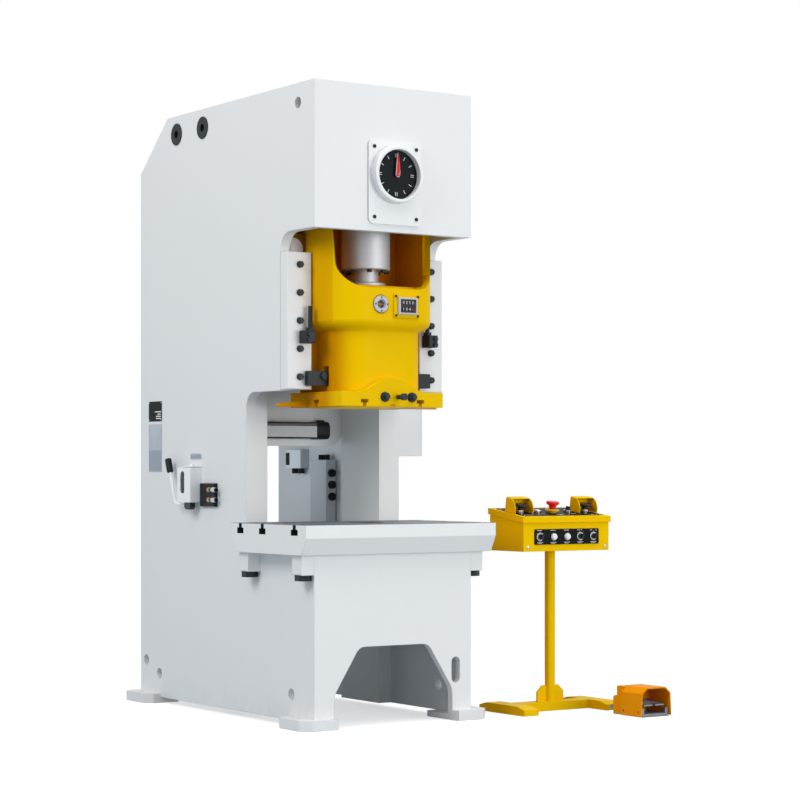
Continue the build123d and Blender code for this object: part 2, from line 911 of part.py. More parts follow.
# Dial plate with its round bezel
with BuildPart() as dial_housing:
    with BuildSketch(front_plane(front_y)):
        with Locations((0, (dial_low + dial_high) / 2)):
            RectangleRounded(dial_wide, dial_high - dial_low, dial_corner)
        with Locations((0, crank_z)):
            Circle(face_hole, mode=Mode.SUBTRACT)
    extrude(amount=dial_plate_thick)
    with BuildSketch(front_plane(front_y - dial_plate_thick)):
        with Locations((0, crank_z)):
            Circle(bezel_r)
            Circle(bezel_in, mode=Mode.SUBTRACT)
    extrude(amount=bezel_deep)
    fillet(dial_housing.faces().sort_by(Axis.Y)[0].edges().sort_by(SortBy.LENGTH)[-1], bezel_edge)
save(dial_housing, "dial_housing")

with BuildPart() as dial_face:
    with BuildSketch(front_plane(front_y - dial_plate_thick)):
        with Locations((0, crank_z)):
            Circle(bezel_in - seat_gap)
            Circle(face_hole, mode=Mode.SUBTRACT)
    extrude(amount=face_thick)
save(dial_face, "dial_face")

with BuildPart() as dial_pointer:
    with BuildSketch(front_plane(pointer_front + pointer_thick)):
        with BuildLine():
            Polyline(
                (-pointer_half, crank_z),
                (pointer_half, crank_z),
                (pointer_half / 2, crank_z + pointer_long - pointer_tip),
                (0, crank_z + pointer_long),
                (-pointer_half / 2, crank_z + pointer_long - pointer_tip),
                close=True,
            )
        make_face()
        with Locations((0, crank_z)):
            Circle(pointer_hub_r)
            Circle(stub_r + seat_gap, mode=Mode.SUBTRACT)
    extrude(amount=pointer_thick)
save(dial_pointer, "dial_pointer")

# Crankshaft at top dead centre, with the stub that turns the dial pointer
with BuildPart() as crankshaft:
    with BuildSketch(front_plane(crank_rear)):
        with Locations((0, crank_z)):
            Circle(journal_r)
    extrude(amount=crank_rear - crank_y - pin_half)
    with BuildSketch(front_plane(crank_y - pin_half)):
        with Locations((0, crank_z)):
            Circle(journal_r)
    extrude(amount=crank_y - pin_half - crank_front)
    with BuildSketch(front_plane(crank_y + pin_half)):
        with Locations((0, crank_z + throw)):
            Circle(pin_r)
    extrude(amount=2 * pin_half)
    for web_y in (crank_y + pin_half + web_thick, crank_y - pin_half):
        with BuildSketch(front_plane(web_y)):
            with Locations((0, crank_z)):
                Circle(web_r)
            with Locations((0, crank_z + throw)):
                Circle(web_pin_r)
            make_hull()
        extrude(amount=web_thick)
    with BuildSketch(front_plane(crank_front)):
        with Locations((0, crank_z)):
            Circle(stub_r)
    extrude(amount=crank_front - stub_front)
save(crankshaft, "crankshaft")

with BuildPart() as crank_bushes:
    for wall_front, wall_back in bearing_walls:
        with BuildSketch(front_plane(wall_back)):
            with Locations((0, crank_z)):
                Circle(bush_out)
                Circle(journal_r + run_gap, mode=Mode.SUBTRACT)
        extrude(amount=wall_back - wall_front)
save(crank_bushes, "crank_bushes")

# Connecting rod, which rides with the ram
with BuildPart() as connecting_rod:
    with BuildSketch(Plane.XY.offset(rod_low)):
        with Locations((0, crank_y)):
            Circle(rod_r)
            Circle(screw_r + seat_gap, mode=Mode.SUBTRACT)
    extrude(amount=rod_high - rod_low)
    with Locations((0, crank_y, (screw_top + rod_high) / 2)):
        Cylinder(rod_r - rod_edge, rod_high - screw_top)
    box_between((-rod_shank_half, rod_shank_half), (crank_y - rod_half, crank_y + rod_half), (screw_top, rod_top))
    chamfer(connecting_rod.faces().sort_by(Axis.Z)[0].edges().sort_by(SortBy.LENGTH)[-1], rod_edge)
    with BuildSketch(front_plane(crank_y + rod_half)):
        with Locations(((yoke_left + yoke_right) / 2, crank_z + throw)):
            RectangleRounded(yoke_right - yoke_left, 2 * yoke_half_high, yoke_r)
    extrude(amount=2 * rod_half)
    with BuildSketch(front_plane(crank_y + rod_half)):
        with Locations(((yoke_slot_left + yoke_slot_right) / 2, crank_z + throw)):
            RectangleRounded(yoke_slot_right - yoke_slot_left, 2 * yoke_slot_half, pin_r)
    extrude(amount=2 * rod_half, mode=Mode.SUBTRACT)
save(connecting_rod, "connecting_rod")

# Ball screw and the cap that holds its ball in the ram
with BuildPart() as ball_screw:
    with BuildSketch(Plane.XY.offset(screw_low)):
        with Locations((0, crank_y)):
            Circle(cap_r)
    extrude(amount=cap_high)
    chamfer(ball_screw.faces().sort_by(Axis.Z)[-1].edges(), rod_edge)
    with BuildSketch(Plane.XY.offset(screw_low)):
        with Locations((0, crank_y)):
            Circle(screw_r)
    extrude(amount=screw_top - screw_low)
save(ball_screw, "ball_screw")

# Ram casting
with BuildPart() as ram:
    for share, level in zip(shoulder_shares, shoulder_zs):
        half = neck_half + share * (ram_half - neck_half)
        face_y = neck_front + share * (ram_front - neck_front)
        round_r = neck_corner + share * (ram_corner - neck_corner)
        with BuildSketch(Plane.XY.offset(level)) as section:
            with Locations((0, (face_y + ram_rear) / 2)):
                Rectangle(2 * half, ram_rear - face_y)
            fillet(section.vertices().group_by(Axis.Y)[0], round_r)
    loft()
    with BuildSketch(Plane.XY.offset(ram_low)) as neck:
        with Locations((0, (neck_front + ram_rear) / 2)):
            Rectangle(2 * neck_half, ram_rear - neck_front)
        fillet(neck.vertices().group_by(Axis.Y)[0], neck_corner)
    extrude(amount=shoulder_zs[0] - ram_low)
    with BuildSketch(Plane.XY.offset(shoulder_zs[-1])) as body:
        with Locations((0, (ram_front + ram_rear) / 2)):
            Rectangle(2 * ram_half, ram_rear - ram_front)
        fillet(body.vertices().group_by(Axis.Y)[0], ram_corner)
    extrude(amount=ram_top - shoulder_zs[-1])
    # Bottom plate with a chamfered front, and the clamp hump flush with its face
    with BuildSketch(Plane.XY.offset(ram_low)) as foot_plan:
        with Locations((0, (ram_front + ram_plate_rear) / 2)):
            Rectangle(2 * ram_plate_half, ram_plate_rear - ram_front)
        chamfer(foot_plan.vertices().group_by(Axis.Y)[0], ram_plate_cut)
    extrude(amount=ram_plate_top - ram_low)
    with BuildSketch(front_plane(apron_back)) as hump:
        with BuildLine():
            Polyline(
                (-ram_plate_half + ram_plate_cut, ram_low),
                (ram_plate_half - ram_plate_cut, ram_low),
                (ram_plate_half - ram_plate_cut, ram_plate_top),
                (hump_half, ram_plate_top),
                (hump_top_half, hump_top),
                (-hump_top_half, hump_top),
                (-hump_half, ram_plate_top),
                (-ram_plate_half + ram_plate_cut, ram_plate_top),
                close=True,
            )
        make_face()
        for turn_x, turn_z in ((hump_half, ram_plate_top), (hump_top_half, hump_top)):
            fillet(hump.vertices().sort_by_distance((turn_x, turn_z))[0], hump_r)
            fillet(hump.vertices().sort_by_distance((-turn_x, turn_z))[0], hump_r)
    extrude(amount=apron_back - ram_front)
    # Wings under the gibs
    for side in (-1, 1):
        with BuildSketch(front_plane(wing_back)):
            with BuildLine():
                Polyline(
                    (side * (neck_half - over), ram_low),
                    (side * wing_out, ram_low),
                    (side * wing_out, wing_tip),
                    (side * (neck_half - over), wing_root),
                    close=True,
                )
            make_face()
        extrude(amount=wing_back - wing_front)
    # Flanges that run between the gibs and the rear guide blocks
    for side in (-1, 1):
        box_between(
            (side * (neck_half - over), side * flange_out),
            (seat_y + run_gap, flange_rear),
            (flange_low, flange_high),
        )
    # Pocket for the connecting rod and its open mouth
    with BuildSketch(Plane.XY.offset(pocket_floor)) as pocket:
        with Locations((0, (pocket_front + pocket_rear) / 2)):
            Rectangle(2 * pocket_half, pocket_rear - pocket_front)
        fillet(pocket.vertices().group_by(Axis.Y)[0], pocket_corner)
    extrude(amount=ram_top + over - pocket_floor, mode=Mode.SUBTRACT)
    with BuildSketch(front_plane(mouth_back)) as mouth:
        with BuildLine():
            Polyline(
                (-mouth_low_half, mouth_low),
                (mouth_low_half, mouth_low),
                (mouth_high_half, ram_top + over),
                (-mouth_high_half, ram_top + over),
                close=True,
            )
        make_face()
        fillet(mouth.vertices().group_by(Axis.Y)[0], mouth_corner)
    extrude(amount=mouth_back - ram_front + over, mode=Mode.SUBTRACT)
    # Pad for the height counter, and the seat of the sight port
    with BuildSketch(front_plane(ram_front + over)):
        with Locations((pad_x, pad_z)):
            Rectangle(pad_wide, pad_high)
    extrude(amount=ram_front + over - pad_front)
    with BuildSketch(front_plane(ram_front + port_deep)):
        with Locations((port_x, port_z)):
            Circle(port_seat_r)
    extrude(amount=port_deep + over, mode=Mode.SUBTRACT)
    # Slot for the knock-out bar
    box_between(
        (-ram_half - over, ram_half + over),
        (bar_slot_front, bar_slot_back),
        (bar_slot_low, bar_slot_high),
        Mode.SUBTRACT,
    )
    # Die shank bore with the hole for the knock-out pin
    with BuildSketch(Plane.XY.offset(ram_low)):
        with Locations((0, crank_y)):
            Circle(shank_r)
    extrude(amount=shank_deep, mode=Mode.SUBTRACT)
    with BuildSketch(Plane.XY.offset(ram_low + shank_deep)):
        with Locations((0, kick_y)):
            Circle(kick_r)
    extrude(amount=bar_slot_low + over - ram_low - shank_deep, mode=Mode.SUBTRACT)
    # Die slots in the bottom plate and the groove across its front
    with BuildSketch(front_plane(ram_front + die_slot_long)):
        for slot_x in die_slot_xs:
            with Locations((slot_x, ram_low + die_neck_deep / 2)):
                Rectangle(die_neck, die_neck_deep)
            with Locations((slot_x, ram_low + die_neck_deep + die_head_deep / 2)):
                Rectangle(die_head, die_head_deep)
        with Locations((0, ram_low + groove_deep / 2)):
            Rectangle(groove_wide, groove_deep)
    extrude(amount=die_slot_long + over, mode=Mode.SUBTRACT)
    with BuildSketch(Plane.YZ.offset(-ram_plate_half - over)):
        with Locations((die_slot_y, ram_low + die_neck_deep / 2)):
            Rectangle(die_neck, die_neck_deep)
        with Locations((die_slot_y, ram_low + die_neck_deep + die_head_deep / 2)):
            Rectangle(die_head, die_head_deep)
    extrude(amount=die_slot_long + over, mode=Mode.SUBTRACT)
    with BuildSketch(Plane.YZ.offset(ram_plate_half + over)):
        with Locations((die_slot_y, ram_low + die_neck_deep / 2)):
            Rectangle(die_neck, die_neck_deep)
        with Locations((die_slot_y, ram_low + die_neck_deep + die_head_deep / 2)):
            Rectangle(die_head, die_head_deep)
    extrude(amount=-die_slot_long - over, mode=Mode.SUBTRACT)
save(ram, "ram")

# Round sight port
with BuildPart() as sight_ring:
    with BuildSketch(front_plane(ram_front + port_deep)):
        with Locations((port_x, port_z)):
            Circle(port_r)
    extrude(amount=port_deep + port_proud)
    chamfer(sight_ring.faces().sort_by(Axis.Y)[0].edges(), gib_edge)
    with BuildSketch(front_plane(ram_front)):
        with Locations((port_x, port_z)):
            Circle(port_bore)
    extrude(amount=port_proud, mode=Mode.SUBTRACT)
save(sight_ring, "sight_ring")

# Height counter on its pad
with BuildPart() as height_counter:
    with BuildSketch(front_plane(pad_front)):
        with Locations((pad_x, pad_z)):
            Rectangle(counter_wide, counter_high)
    extrude(amount=counter_proud)
    chamfer(height_counter.faces().sort_by(Axis.Y)[0].edges(), gib_edge)
    with BuildSketch(front_plane(pad_front - counter_proud + counter_sunk)):
        with Locations((pad_x, pad_z)):
            Rectangle(counter_wide - 2 * counter_rim, counter_high - 2 * counter_rim)
    extrude(amount=counter_sunk, mode=Mode.SUBTRACT)
save(height_counter, "height_counter")

# Studs with nuts and the square set screw that clamp the die shank
with BuildPart() as clamp_studs:
    with BuildSketch(front_plane(ram_front)):
        with Locations(*[(x, stud_z) for x in stud_xs]):
            Circle(stud_r)
        with Locations((set_x, stud_z)):
            Circle(set_shank_r)
    extrude(amount=ram_front - stud_front)
    with BuildSketch(front_plane(ram_front)):
        with Locations(*[(x, stud_z) for x in stud_xs]):
            RegularPolygon(stud_nut_across / 2, 6, major_radius=False)
    extrude(amount=stud_nut_high)
    with BuildSketch(front_plane(set_front + set_head_long)):
        with Locations((set_x, stud_z)):
            RegularPolygon(set_head / 2, 6, major_radius=False)
    extrude(amount=set_head_long)
    with BuildSketch(front_plane(stud_front)):
        with Locations((set_x, stud_z)):
            Circle(set_shank_r)
    extrude(amount=stud_front - set_front - set_head_long)
save(clamp_studs, "clamp_studs")

# Knock-out bar through the ram, with a bolt near each end
with BuildPart() as knockout_bar:
    box_between((-bar_half, bar_half), (bar_front, bar_back), (bar_low, bar_high))
    chamfer(knockout_bar.edges().filter_by(Axis.Y), gib_edge)
    with BuildSketch(front_plane(bar_front)):
        with Locations((-bar_bolt_x, bar_bolt_z), (bar_bolt_x, bar_bolt_z)):
            RegularPolygon(bar_bolt_across / 2, 6, major_radius=False)
    extrude(amount=bar_bolt_high)
save(knockout_bar, "knockout_bar")

# Stop blocks on the gibs and their upright screws
with BuildPart() as knockout_stops:
    box_between((stop_in, stop_out), (stop_front, gib_front), (stop_low, stop_high))
    chamfer(knockout_stops.faces().sort_by(Axis.Y)[0].edges(), gib_edge)
    with BuildSketch(front_plane(stop_front)):
        with Locations(*[(stop_cap_x, z) for z in stop_cap_zs]):
            Circle(stop_cap_r)
    extrude(amount=stop_cap_high)
    with Locations((stop_screw_x, stop_screw_y, (stop_low + stop_high) / 2)):
        Cylinder(stop_screw_r + seat_gap, stop_high - stop_low + over, mode=Mode.SUBTRACT)
    with BuildSketch(Plane.XY.offset(stop_screw_low)):
        with Locations((stop_screw_x, stop_screw_y)):
            Circle(stop_screw_r)
    extrude(amount=stop_screw_top - stop_screw_low)
    with BuildSketch(Plane.XY.offset(stop_high)):
        with Locations((stop_screw_x, stop_screw_y)):
            RegularPolygon(stop_nut_across / 2, 6, major_radius=False)
    extrude(amount=stop_nut_high)
    mirror(about=Plane.YZ)
save(knockout_stops, "knockout_stops")

# Work lamp on the throat wall, and its end caps
with BuildPart() as work_lamp:
    with BuildSketch(Plane.YZ.offset(lamp_x - lamp_half)) as lamp:
        with Locations((wall_y - lamp_deep / 2, (lamp_low + lamp_high) / 2)):
            Rectangle(lamp_deep, lamp_high - lamp_low)
        fillet(lamp.vertices().group_by(Axis.X)[0], lamp_round)
    extrude(amount=2 * lamp_half)
save(work_lamp, "work_lamp")

with BuildPart() as lamp_caps:
    with BuildSketch(Plane.YZ.offset(lamp_x + lamp_half)) as cap:
        with Locations((wall_y - (lamp_deep + lamp_cap_more) / 2, (lamp_low + lamp_high) / 2)):
            Rectangle(lamp_deep + lamp_cap_more, lamp_high - lamp_low + 2 * lamp_cap_more)
        fillet(cap.vertices().group_by(Axis.X)[0], lamp_cap_round)
    extrude(amount=lamp_cap_long)
    with Locations((lamp_x + lamp_half + lamp_tab_in, wall_y - lamp_tab[1], lamp_high + lamp_tab[2] / 2)):
        Box(*lamp_tab)
    mirror(about=Plane.YZ.offset(lamp_x))
save(lamp_caps, "lamp_caps")

# Sensor box and junction box on the right inner wall
with BuildPart() as sensor_box:
    box_between((sensor_x, inner_half), sensor_y, sensor_z)
    fillet(sensor_box.faces().sort_by(Axis.X)[0].edges(), box_edge)
    with Locations((sensor_x, sensor_y[1] - sensor_slot_in, sum(sensor_z) / 2)):
        Box(sensor_slot[2], sensor_slot[0], sensor_slot[1], mode=Mode.SUBTRACT)
save(sensor_box, "sensor_box")

with BuildPart() as junction_box:
    box_between((junction_x, inner_half), junction_y, junction_z)
    fillet(junction_box.faces().sort_by(Axis.X)[0].edges(), box_edge)
save(junction_box, "junction_box")

with BuildPart() as cable_glands:
    box_x = (junction_x + inner_half) / 2
    with BuildSketch(front_plane(junction_y[0])):
        with Locations(*[(box_x, z) for z in plug_zs]):
            Circle(plug_r)
    extrude(amount=plug_long)
    chamfer(cable_glands.faces().group_by(Axis.Y)[0].edges(), gib_edge)
    with BuildSketch(Plane.XY.offset(junction_z[1])):
        with Locations((box_x, sum(junction_y) / 2 - gland_across), (box_x, sum(junction_y) / 2 + gland_across / 2)):
            RegularPolygon(gland_across / 2, 6, major_radius=False)
    extrude(amount=gland_high)
    sensor_mid = (sensor_x + inner_half) / 2
    with BuildSketch(Plane.XY.offset(sensor_z[0])):
        with Locations((sensor_mid, sensor_y[0] + gland_across), (sensor_mid, sensor_y[0] + 3 * gland_across)):
            RegularPolygon(gland_across / 2, 6, major_radius=False)
    extrude(amount=-gland_high)
save(cable_glands, "cable_glands")

# Electrical cabinet with a door on its outer side
with BuildPart() as cabinet:
    box_between((half_width, cabinet_out), (cabinet_front, cabinet_rear), (cabinet_low, cabinet_high))
    box_between(
        (half_width + cabinet_wall, cabinet_out + over),
        (cabinet_front + cabinet_wall, cabinet_rear - cabinet_wall),
        (cabinet_low + cabinet_wall, cabinet_high - cabinet_wall),
        Mode.SUBTRACT,
    )
save(cabinet, "cabinet")

door_x = cabinet_out + air_gap
with BuildPart() as cabinet_door:
    box_between((door_x, door_x + door_thick), (cabinet_front, cabinet_rear), (cabinet_low, cabinet_high))
    chamfer(cabinet_door.faces().sort_by(Axis.X)[-1].edges(), door_edge)
    with BuildSketch(Plane.YZ.offset(door_x + door_thick)):
        with Locations((cabinet_front + lock_inset, lock_z)):
            Circle(lock_r)
    extrude(amount=lock_proud)
    for hinge_z in hinge_zs:
        with BuildSketch(Plane.XY.offset(hinge_z - hinge_long / 2)):
            with Locations((door_x + door_thick, cabinet_rear + hinge_r / 2)):
                Circle(hinge_r)
        extrude(amount=hinge_long)
save(cabinet_door, "cabinet_door")

# Hand lubricator
with BuildPart() as oil_tank:
    box_between((-tank_out, -half_width), tank_y, tank_z)
    fillet(oil_tank.edges().filter_by(Axis.Z).group_by(Axis.X)[0], tank_r)
    with BuildSketch(Plane.YZ.offset(-tank_out)):
        with Locations((sight_y, sum(sight_z) / 2)):
            SlotOverall(sight_z[1] - sight_z[0], sight_wide, rotation=90)
    extrude(amount=sight_deep, mode=Mode.SUBTRACT)
    # Fork and pin under the tank that carry the pump lever
    with BuildSketch(Plane.YZ.offset(-fork_out)) as fork:
        with BuildLine():
            Polyline(
                (fork_y[0], fork_low + fork_cut),
                (fork_y[0] + fork_cut, fork_low),
                (fork_y[1] - fork_cut, fork_low),
                (fork_y[1], fork_low + fork_cut),
                (fork_y[1], tank_z[0] + over),
                (fork_y[0], tank_z[0] + over),
                close=True,
            )
        make_face()
    extrude(amount=fork_out - fork_back)
    box_between(
        (-fork_slot, -fork_in), (fork_web_y, fork_y[1] + over), (fork_low - over, tank_z[0]), Mode.SUBTRACT
    )
    with BuildSketch(Plane.YZ.offset(-fork_out)):
        with Locations(lever_path[0]):
            Circle(lever_pin_r)
    extrude(amount=fork_out - fork_back)
save(oil_tank, "oil_tank")

# Oil distributor with two fittings
with BuildPart() as oil_manifold:
    box_between((-manifold_out, -half_width), manifold_y, manifold_z)
    chamfer(oil_manifold.faces().sort_by(Axis.X)[0].edges(), gib_edge)
    with BuildSketch(front_plane(fitting_y[1])):
        with Locations(*[(-fitting_x, z) for z in fitting_zs]):
            Circle(fitting_r)
    extrude(amount=fitting_y[1] - fitting_y[0])
    with BuildSketch(front_plane(fitting_y[0])):
        with Locations(*[(-fitting_x, z) for z in fitting_zs]):
            Circle(fitting_nut_r)
    extrude(amount=fitting_y[0] - fitting_end)
    with BuildSketch(front_plane(fitting_end + fitting_deep)):
        with Locations(*[(-fitting_x, z) for z in fitting_zs]):
            Circle(fitting_bore)
    extrude(amount=fitting_deep, mode=Mode.SUBTRACT)
save(oil_manifold, "oil_manifold")

with BuildPart() as oil_lever:
    with BuildSketch(Plane.YZ.offset(-hub_out)):
        with Locations(lever_path[0]):
            Circle(hub_r)
    extrude(amount=hub_out - hub_in)
    lever_points = [(-lever_out, y, z) for y, z in lever_path]
    with BuildLine() as lever_line:
        FilletPolyline(*lever_points, radius=lever_bend)
    with BuildSketch(Plane(origin=lever_points[0], z_dir=lever_line.line % 0)):
        Circle(lever_r)
    sweep(path=lever_line.line)
    with BuildSketch(Plane.YZ.offset(-hub_out)):
        with Locations(lever_path[0]):
            Circle(lever_pin_r + run_gap)
    extrude(amount=hub_out - hub_in, mode=Mode.SUBTRACT)
save(oil_lever, "oil_lever")

with BuildPart() as oil_grip:
    grip_from = Vector(-lever_out, *lever_path[-1])
    grip_to = Vector(-lever_out, *grip_end)
    with BuildSketch(Plane(origin=grip_from, z_dir=grip_to - grip_from)):
        Circle(grip_r)
    extrude(amount=(grip_to - grip_from).length)
    fillet(oil_grip.edges(), grip_edge)
save(oil_grip, "oil_grip")

# Flywheel on the crankshaft, with three belt grooves
with BuildPart() as flywheel:
    with BuildSketch(front_plane(wheel_y[1])):
        with Locations((0, crank_z)):
            Circle(wheel_r)
            Circle(wheel_r - wheel_rim, mode=Mode.SUBTRACT)
            Circle(wheel_hub_r)
    extrude(amount=wheel_y[1] - wheel_y[0])
    with BuildSketch(front_plane(wheel_web[1])):
        with Locations((0, crank_z)):
            Circle(wheel_r - wheel_rim / 2)
            with PolarLocations(wheel_hole_at, 6):
                Circle(wheel_hole_r, mode=Mode.SUBTRACT)
    extrude(amount=wheel_web[1] - wheel_web[0])
    with BuildSketch(front_plane(wheel_y[1])):
        with Locations((0, crank_z)):
            Circle(journal_r + run_gap)
    extrude(amount=wheel_y[1] - wheel_y[0], mode=Mode.SUBTRACT)
    for belt_y in belt_ys:
        with BuildSketch(front_plane(belt_y + belt_wide / 2)):
            with Locations((0, crank_z)):
                Circle(wheel_r + over)
                Circle(wheel_r - belt_deep, mode=Mode.SUBTRACT)
        extrude(amount=belt_wide, mode=Mode.SUBTRACT)
save(flywheel, "flywheel")

# Motor on the shelf
with BuildPart() as motor:
    with BuildSketch(front_plane(motor_y[1])):
        with Locations((0, motor_z)):
            Circle(motor_r)
    extrude(amount=motor_y[1] - motor_y[0])
    with BuildSketch(front_plane(motor_fin_y[1])):
        with Locations((0, motor_z)):
            with PolarLocations((motor_r + motor_fin_r) / 2, motor_fins):
                Rectangle(2 * (motor_fin_r - motor_r), motor_fin_wide)
    extrude(amount=motor_fin_y[1] - motor_fin_y[0])
    foot_mid = (sum(motor_fin_y)) / 2
    with Locations((0, foot_mid, shelf_z + motor_foot[2] / 2)):
        Box(*motor_foot)
    box_between(
        (-motor_foot[0] / 4, motor_foot[0] / 4),
        (foot_mid - motor_foot[1] / 2, foot_mid + motor_foot[1] / 2),
        (shelf_z, motor_z - motor_r / 2),
    )
    with BuildSketch(front_plane(motor_y[0])):
        with Locations((0, motor_z)):
            Circle(motor_shaft_r)
    extrude(amount=motor_y[0] - motor_shaft_y)
save(motor, "motor")

with BuildPart() as motor_pulley:
    with BuildSketch(front_plane(pulley_y[1])):
        with Locations((0, motor_z)):
            Circle(pulley_r)
            Circle(motor_shaft_r + run_gap, mode=Mode.SUBTRACT)
    extrude(amount=pulley_y[1] - pulley_y[0])
    for belt_y in belt_ys:
        with BuildSketch(front_plane(belt_y + belt_wide / 2)):
            with Locations((0, motor_z)):
                Circle(pulley_r + over)
                Circle(pulley_r - belt_deep, mode=Mode.SUBTRACT)
        extrude(amount=belt_wide, mode=Mode.SUBTRACT)
save(motor_pulley, "motor_pulley")

# Belts round both wheels
with BuildPart() as drive_belts:
    for belt_y in belt_ys:
        with BuildSketch(front_plane(belt_y + belt_wide / 2 - belt_gap)):
            with Locations((0, crank_z)):
                Circle(wheel_r - belt_deep + belt_gap + belt_thick)
            with Locations((0, motor_z)):
                Circle(pulley_r - belt_deep + belt_gap + belt_thick)
            make_hull()
        extrude(amount=belt_wide - 2 * belt_gap)
        with BuildSketch(front_plane(belt_y + belt_wide / 2)):
            with Locations((0, crank_z)):
                Circle(wheel_r - belt_deep + belt_gap)
            with Locations((0, motor_z)):
                Circle(pulley_r - belt_deep + belt_gap)
            make_hull()
        extrude(amount=belt_wide, mode=Mode.SUBTRACT)
save(drive_belts, "drive_belts")

# Rear cover with vents beside the motor
with BuildPart() as rear_cover:
    box_between((-inner_half, inner_half), (half_depth - cover_thick, half_depth), cover_z)
    with BuildSketch(front_plane(half_depth)):
        with Locations((0, vent_z)):
            with GridLocations(0, vent_pitch, 1, vent_count):
                SlotOverall(vent_wide, vent_high)
    extrude(amount=cover_thick, mode=Mode.SUBTRACT)
save(rear_cover, "rear_cover")

# Control stand
with BuildPart() as console_stand:
    for side in (-1, 1):
        with BuildSketch(Plane.YZ.offset(console_x + side * (arm_in + arm_out) / 2 - (arm_out - arm_in) / 2)):
            with BuildLine():
                Polyline(
                    (arm_front, 0),
                    (arm_rear, 0),
                    (arm_rear, arm_toe),
                    (arm_rear - arm_slope, arm_high),
                    (arm_front + arm_slope, arm_high),
                    (arm_front, arm_toe),
                    close=True,
                )
            make_face()
        extrude(amount=arm_out - arm_in)
    box_between((console_x - arm_in - over, console_x + arm_in + over), bar_y, (0, arm_high))
    with BuildSketch(Plane.XY.offset(arm_high)):
        with Locations((console_x, post_y)):
            Circle(post_r)
    extrude(amount=box_low - arm_high)
    for side in (-1, 1):
        with BuildSketch(front_plane(post_y + gusset_thick / 2)):
            reach = post_r + gusset_wide
            with BuildLine():
                Polyline(
                    (console_x, arm_high),
                    (console_x + side * reach, arm_high),
                    (console_x + side * reach, arm_high + gusset_high - gusset_cut),
                    (console_x + side * (reach - gusset_cut), arm_high + gusset_high),
                    (console_x, arm_high + gusset_high),
                    close=True,
                )
            make_face()
        extrude(amount=gusset_thick)
save(console_stand, "console_stand")

# Console box, open at the top, with a sloping lid
lid_run = box_back - box_front + 2 * lid_past
lid_angle = math.degrees(math.atan2(lid_back_z - lid_front_z, lid_run))
lid_rise_share = (lid_back_z - lid_front_z) / lid_run


def lid_z(y):
    # Height of the lid's top at depth y.
    return lid_front_z + (y - box_front + lid_past) * lid_rise_share


def lid_plane(x, y, lift=0.0):
    # A plane on the sloping lid, turned square to it.
    tilt = math.radians(lid_angle)
    normal = Vector(0, -math.sin(tilt), math.cos(tilt))
    return Plane(origin=Vector(x, y, lid_z(y)) + normal * lift, x_dir=(1, 0, 0), z_dir=normal)


with BuildPart() as console_box:
    with BuildSketch(Plane.YZ.offset(console_x - box_half)):
        with BuildLine():
            Polyline(
                (box_front, box_low),
                (box_back, box_low),
                (box_back, lid_z(box_back) - lid_thick),
                (box_front, lid_z(box_front) - lid_thick),
                close=True,
            )
        make_face()
    extrude(amount=2 * box_half)
    with BuildSketch(Plane.YZ.offset(console_x - box_half + box_wall)):
        with BuildLine():
            Polyline(
                (box_front + box_wall, box_low + box_wall),
                (box_back - box_wall, box_low + box_wall),
                (box_back - box_wall, lid_z(box_back) + over),
                (box_front + box_wall, lid_z(box_front) + over),
                close=True,
            )
        make_face()
    extrude(amount=2 * box_half - 2 * box_wall, mode=Mode.SUBTRACT)
    with BuildSketch(front_plane(box_front + box_wall)):
        with Locations(*[(console_x + x, panel_z) for x in front_xs]):
            Circle(small_r + air_gap)
    extrude(amount=box_wall, mode=Mode.SUBTRACT)
save(console_box, "console_box")

with BuildPart() as console_lid:
    with BuildSketch(Plane.YZ.offset(console_x - box_half - lid_past)):
        with BuildLine():
            Polyline(
                (box_front - lid_past, lid_front_z),
                (box_back + lid_past, lid_back_z),
                (box_back + lid_past, lid_back_z - lid_high),
                (box_front - lid_past, lid_front_z - lid_high),
                close=True,
            )
        make_face()
    extrude(amount=2 * (box_half + lid_past))
    with BuildSketch(Plane.YZ.offset(console_x - box_half - seat_gap)):
        with BuildLine():
            Polyline(
                (box_front - seat_gap, lid_z(box_front - seat_gap) - lid_thick),
                (box_back + seat_gap, lid_z(box_back + seat_gap) - lid_thick),
                (box_back + seat_gap, box_low),
                (box_front - seat_gap, box_low),
                close=True,
            )
        make_face()
    extrude(amount=2 * box_half + 2 * seat_gap, mode=Mode.SUBTRACT)
    for hole_x, hole_r in (
        (-palm_x, palm_stem_r),
        (palm_x, palm_stem_r),
        (stop_x, palm_stem_r),
        (top_button_x, small_r),
        (top_selector_x, small_r),
    ):
        with BuildSketch(lid_plane(console_x + hole_x, control_y)):
            Circle(hole_r + air_gap)
        extrude(amount=-2 * lid_thick, mode=Mode.SUBTRACT)
save(console_lid, "console_lid")

# Dark plates on the lid and on the front of the box
with BuildPart() as console_panels:
    with BuildSketch(lid_plane(console_x, (box_front + box_back) / 2)):
        RectangleRounded(lid_panel[0], lid_panel[1], panel_corner)
    extrude(amount=lid_panel[2])
    for hole_x, hole_r in (
        (-palm_x, palm_stem_r),
        (palm_x, palm_stem_r),
        (stop_x, palm_stem_r),
        (top_button_x, small_r),
        (top_selector_x, small_r),
    ):
        with BuildSketch(lid_plane(console_x + hole_x, control_y)):
            Circle(hole_r + air_gap)
        extrude(amount=2 * lid_thick, mode=Mode.SUBTRACT)
    with BuildSketch(front_plane(box_front)):
        with Locations((console_x, panel_z)):
            RectangleRounded(front_panel[0], front_panel[1], panel_corner)
        with Locations(*[(console_x + x, panel_z) for x in front_xs]):
            Circle(small_r + air_gap, mode=Mode.SUBTRACT)
    extrude(amount=front_panel[2])
save(console_panels, "console_panels")

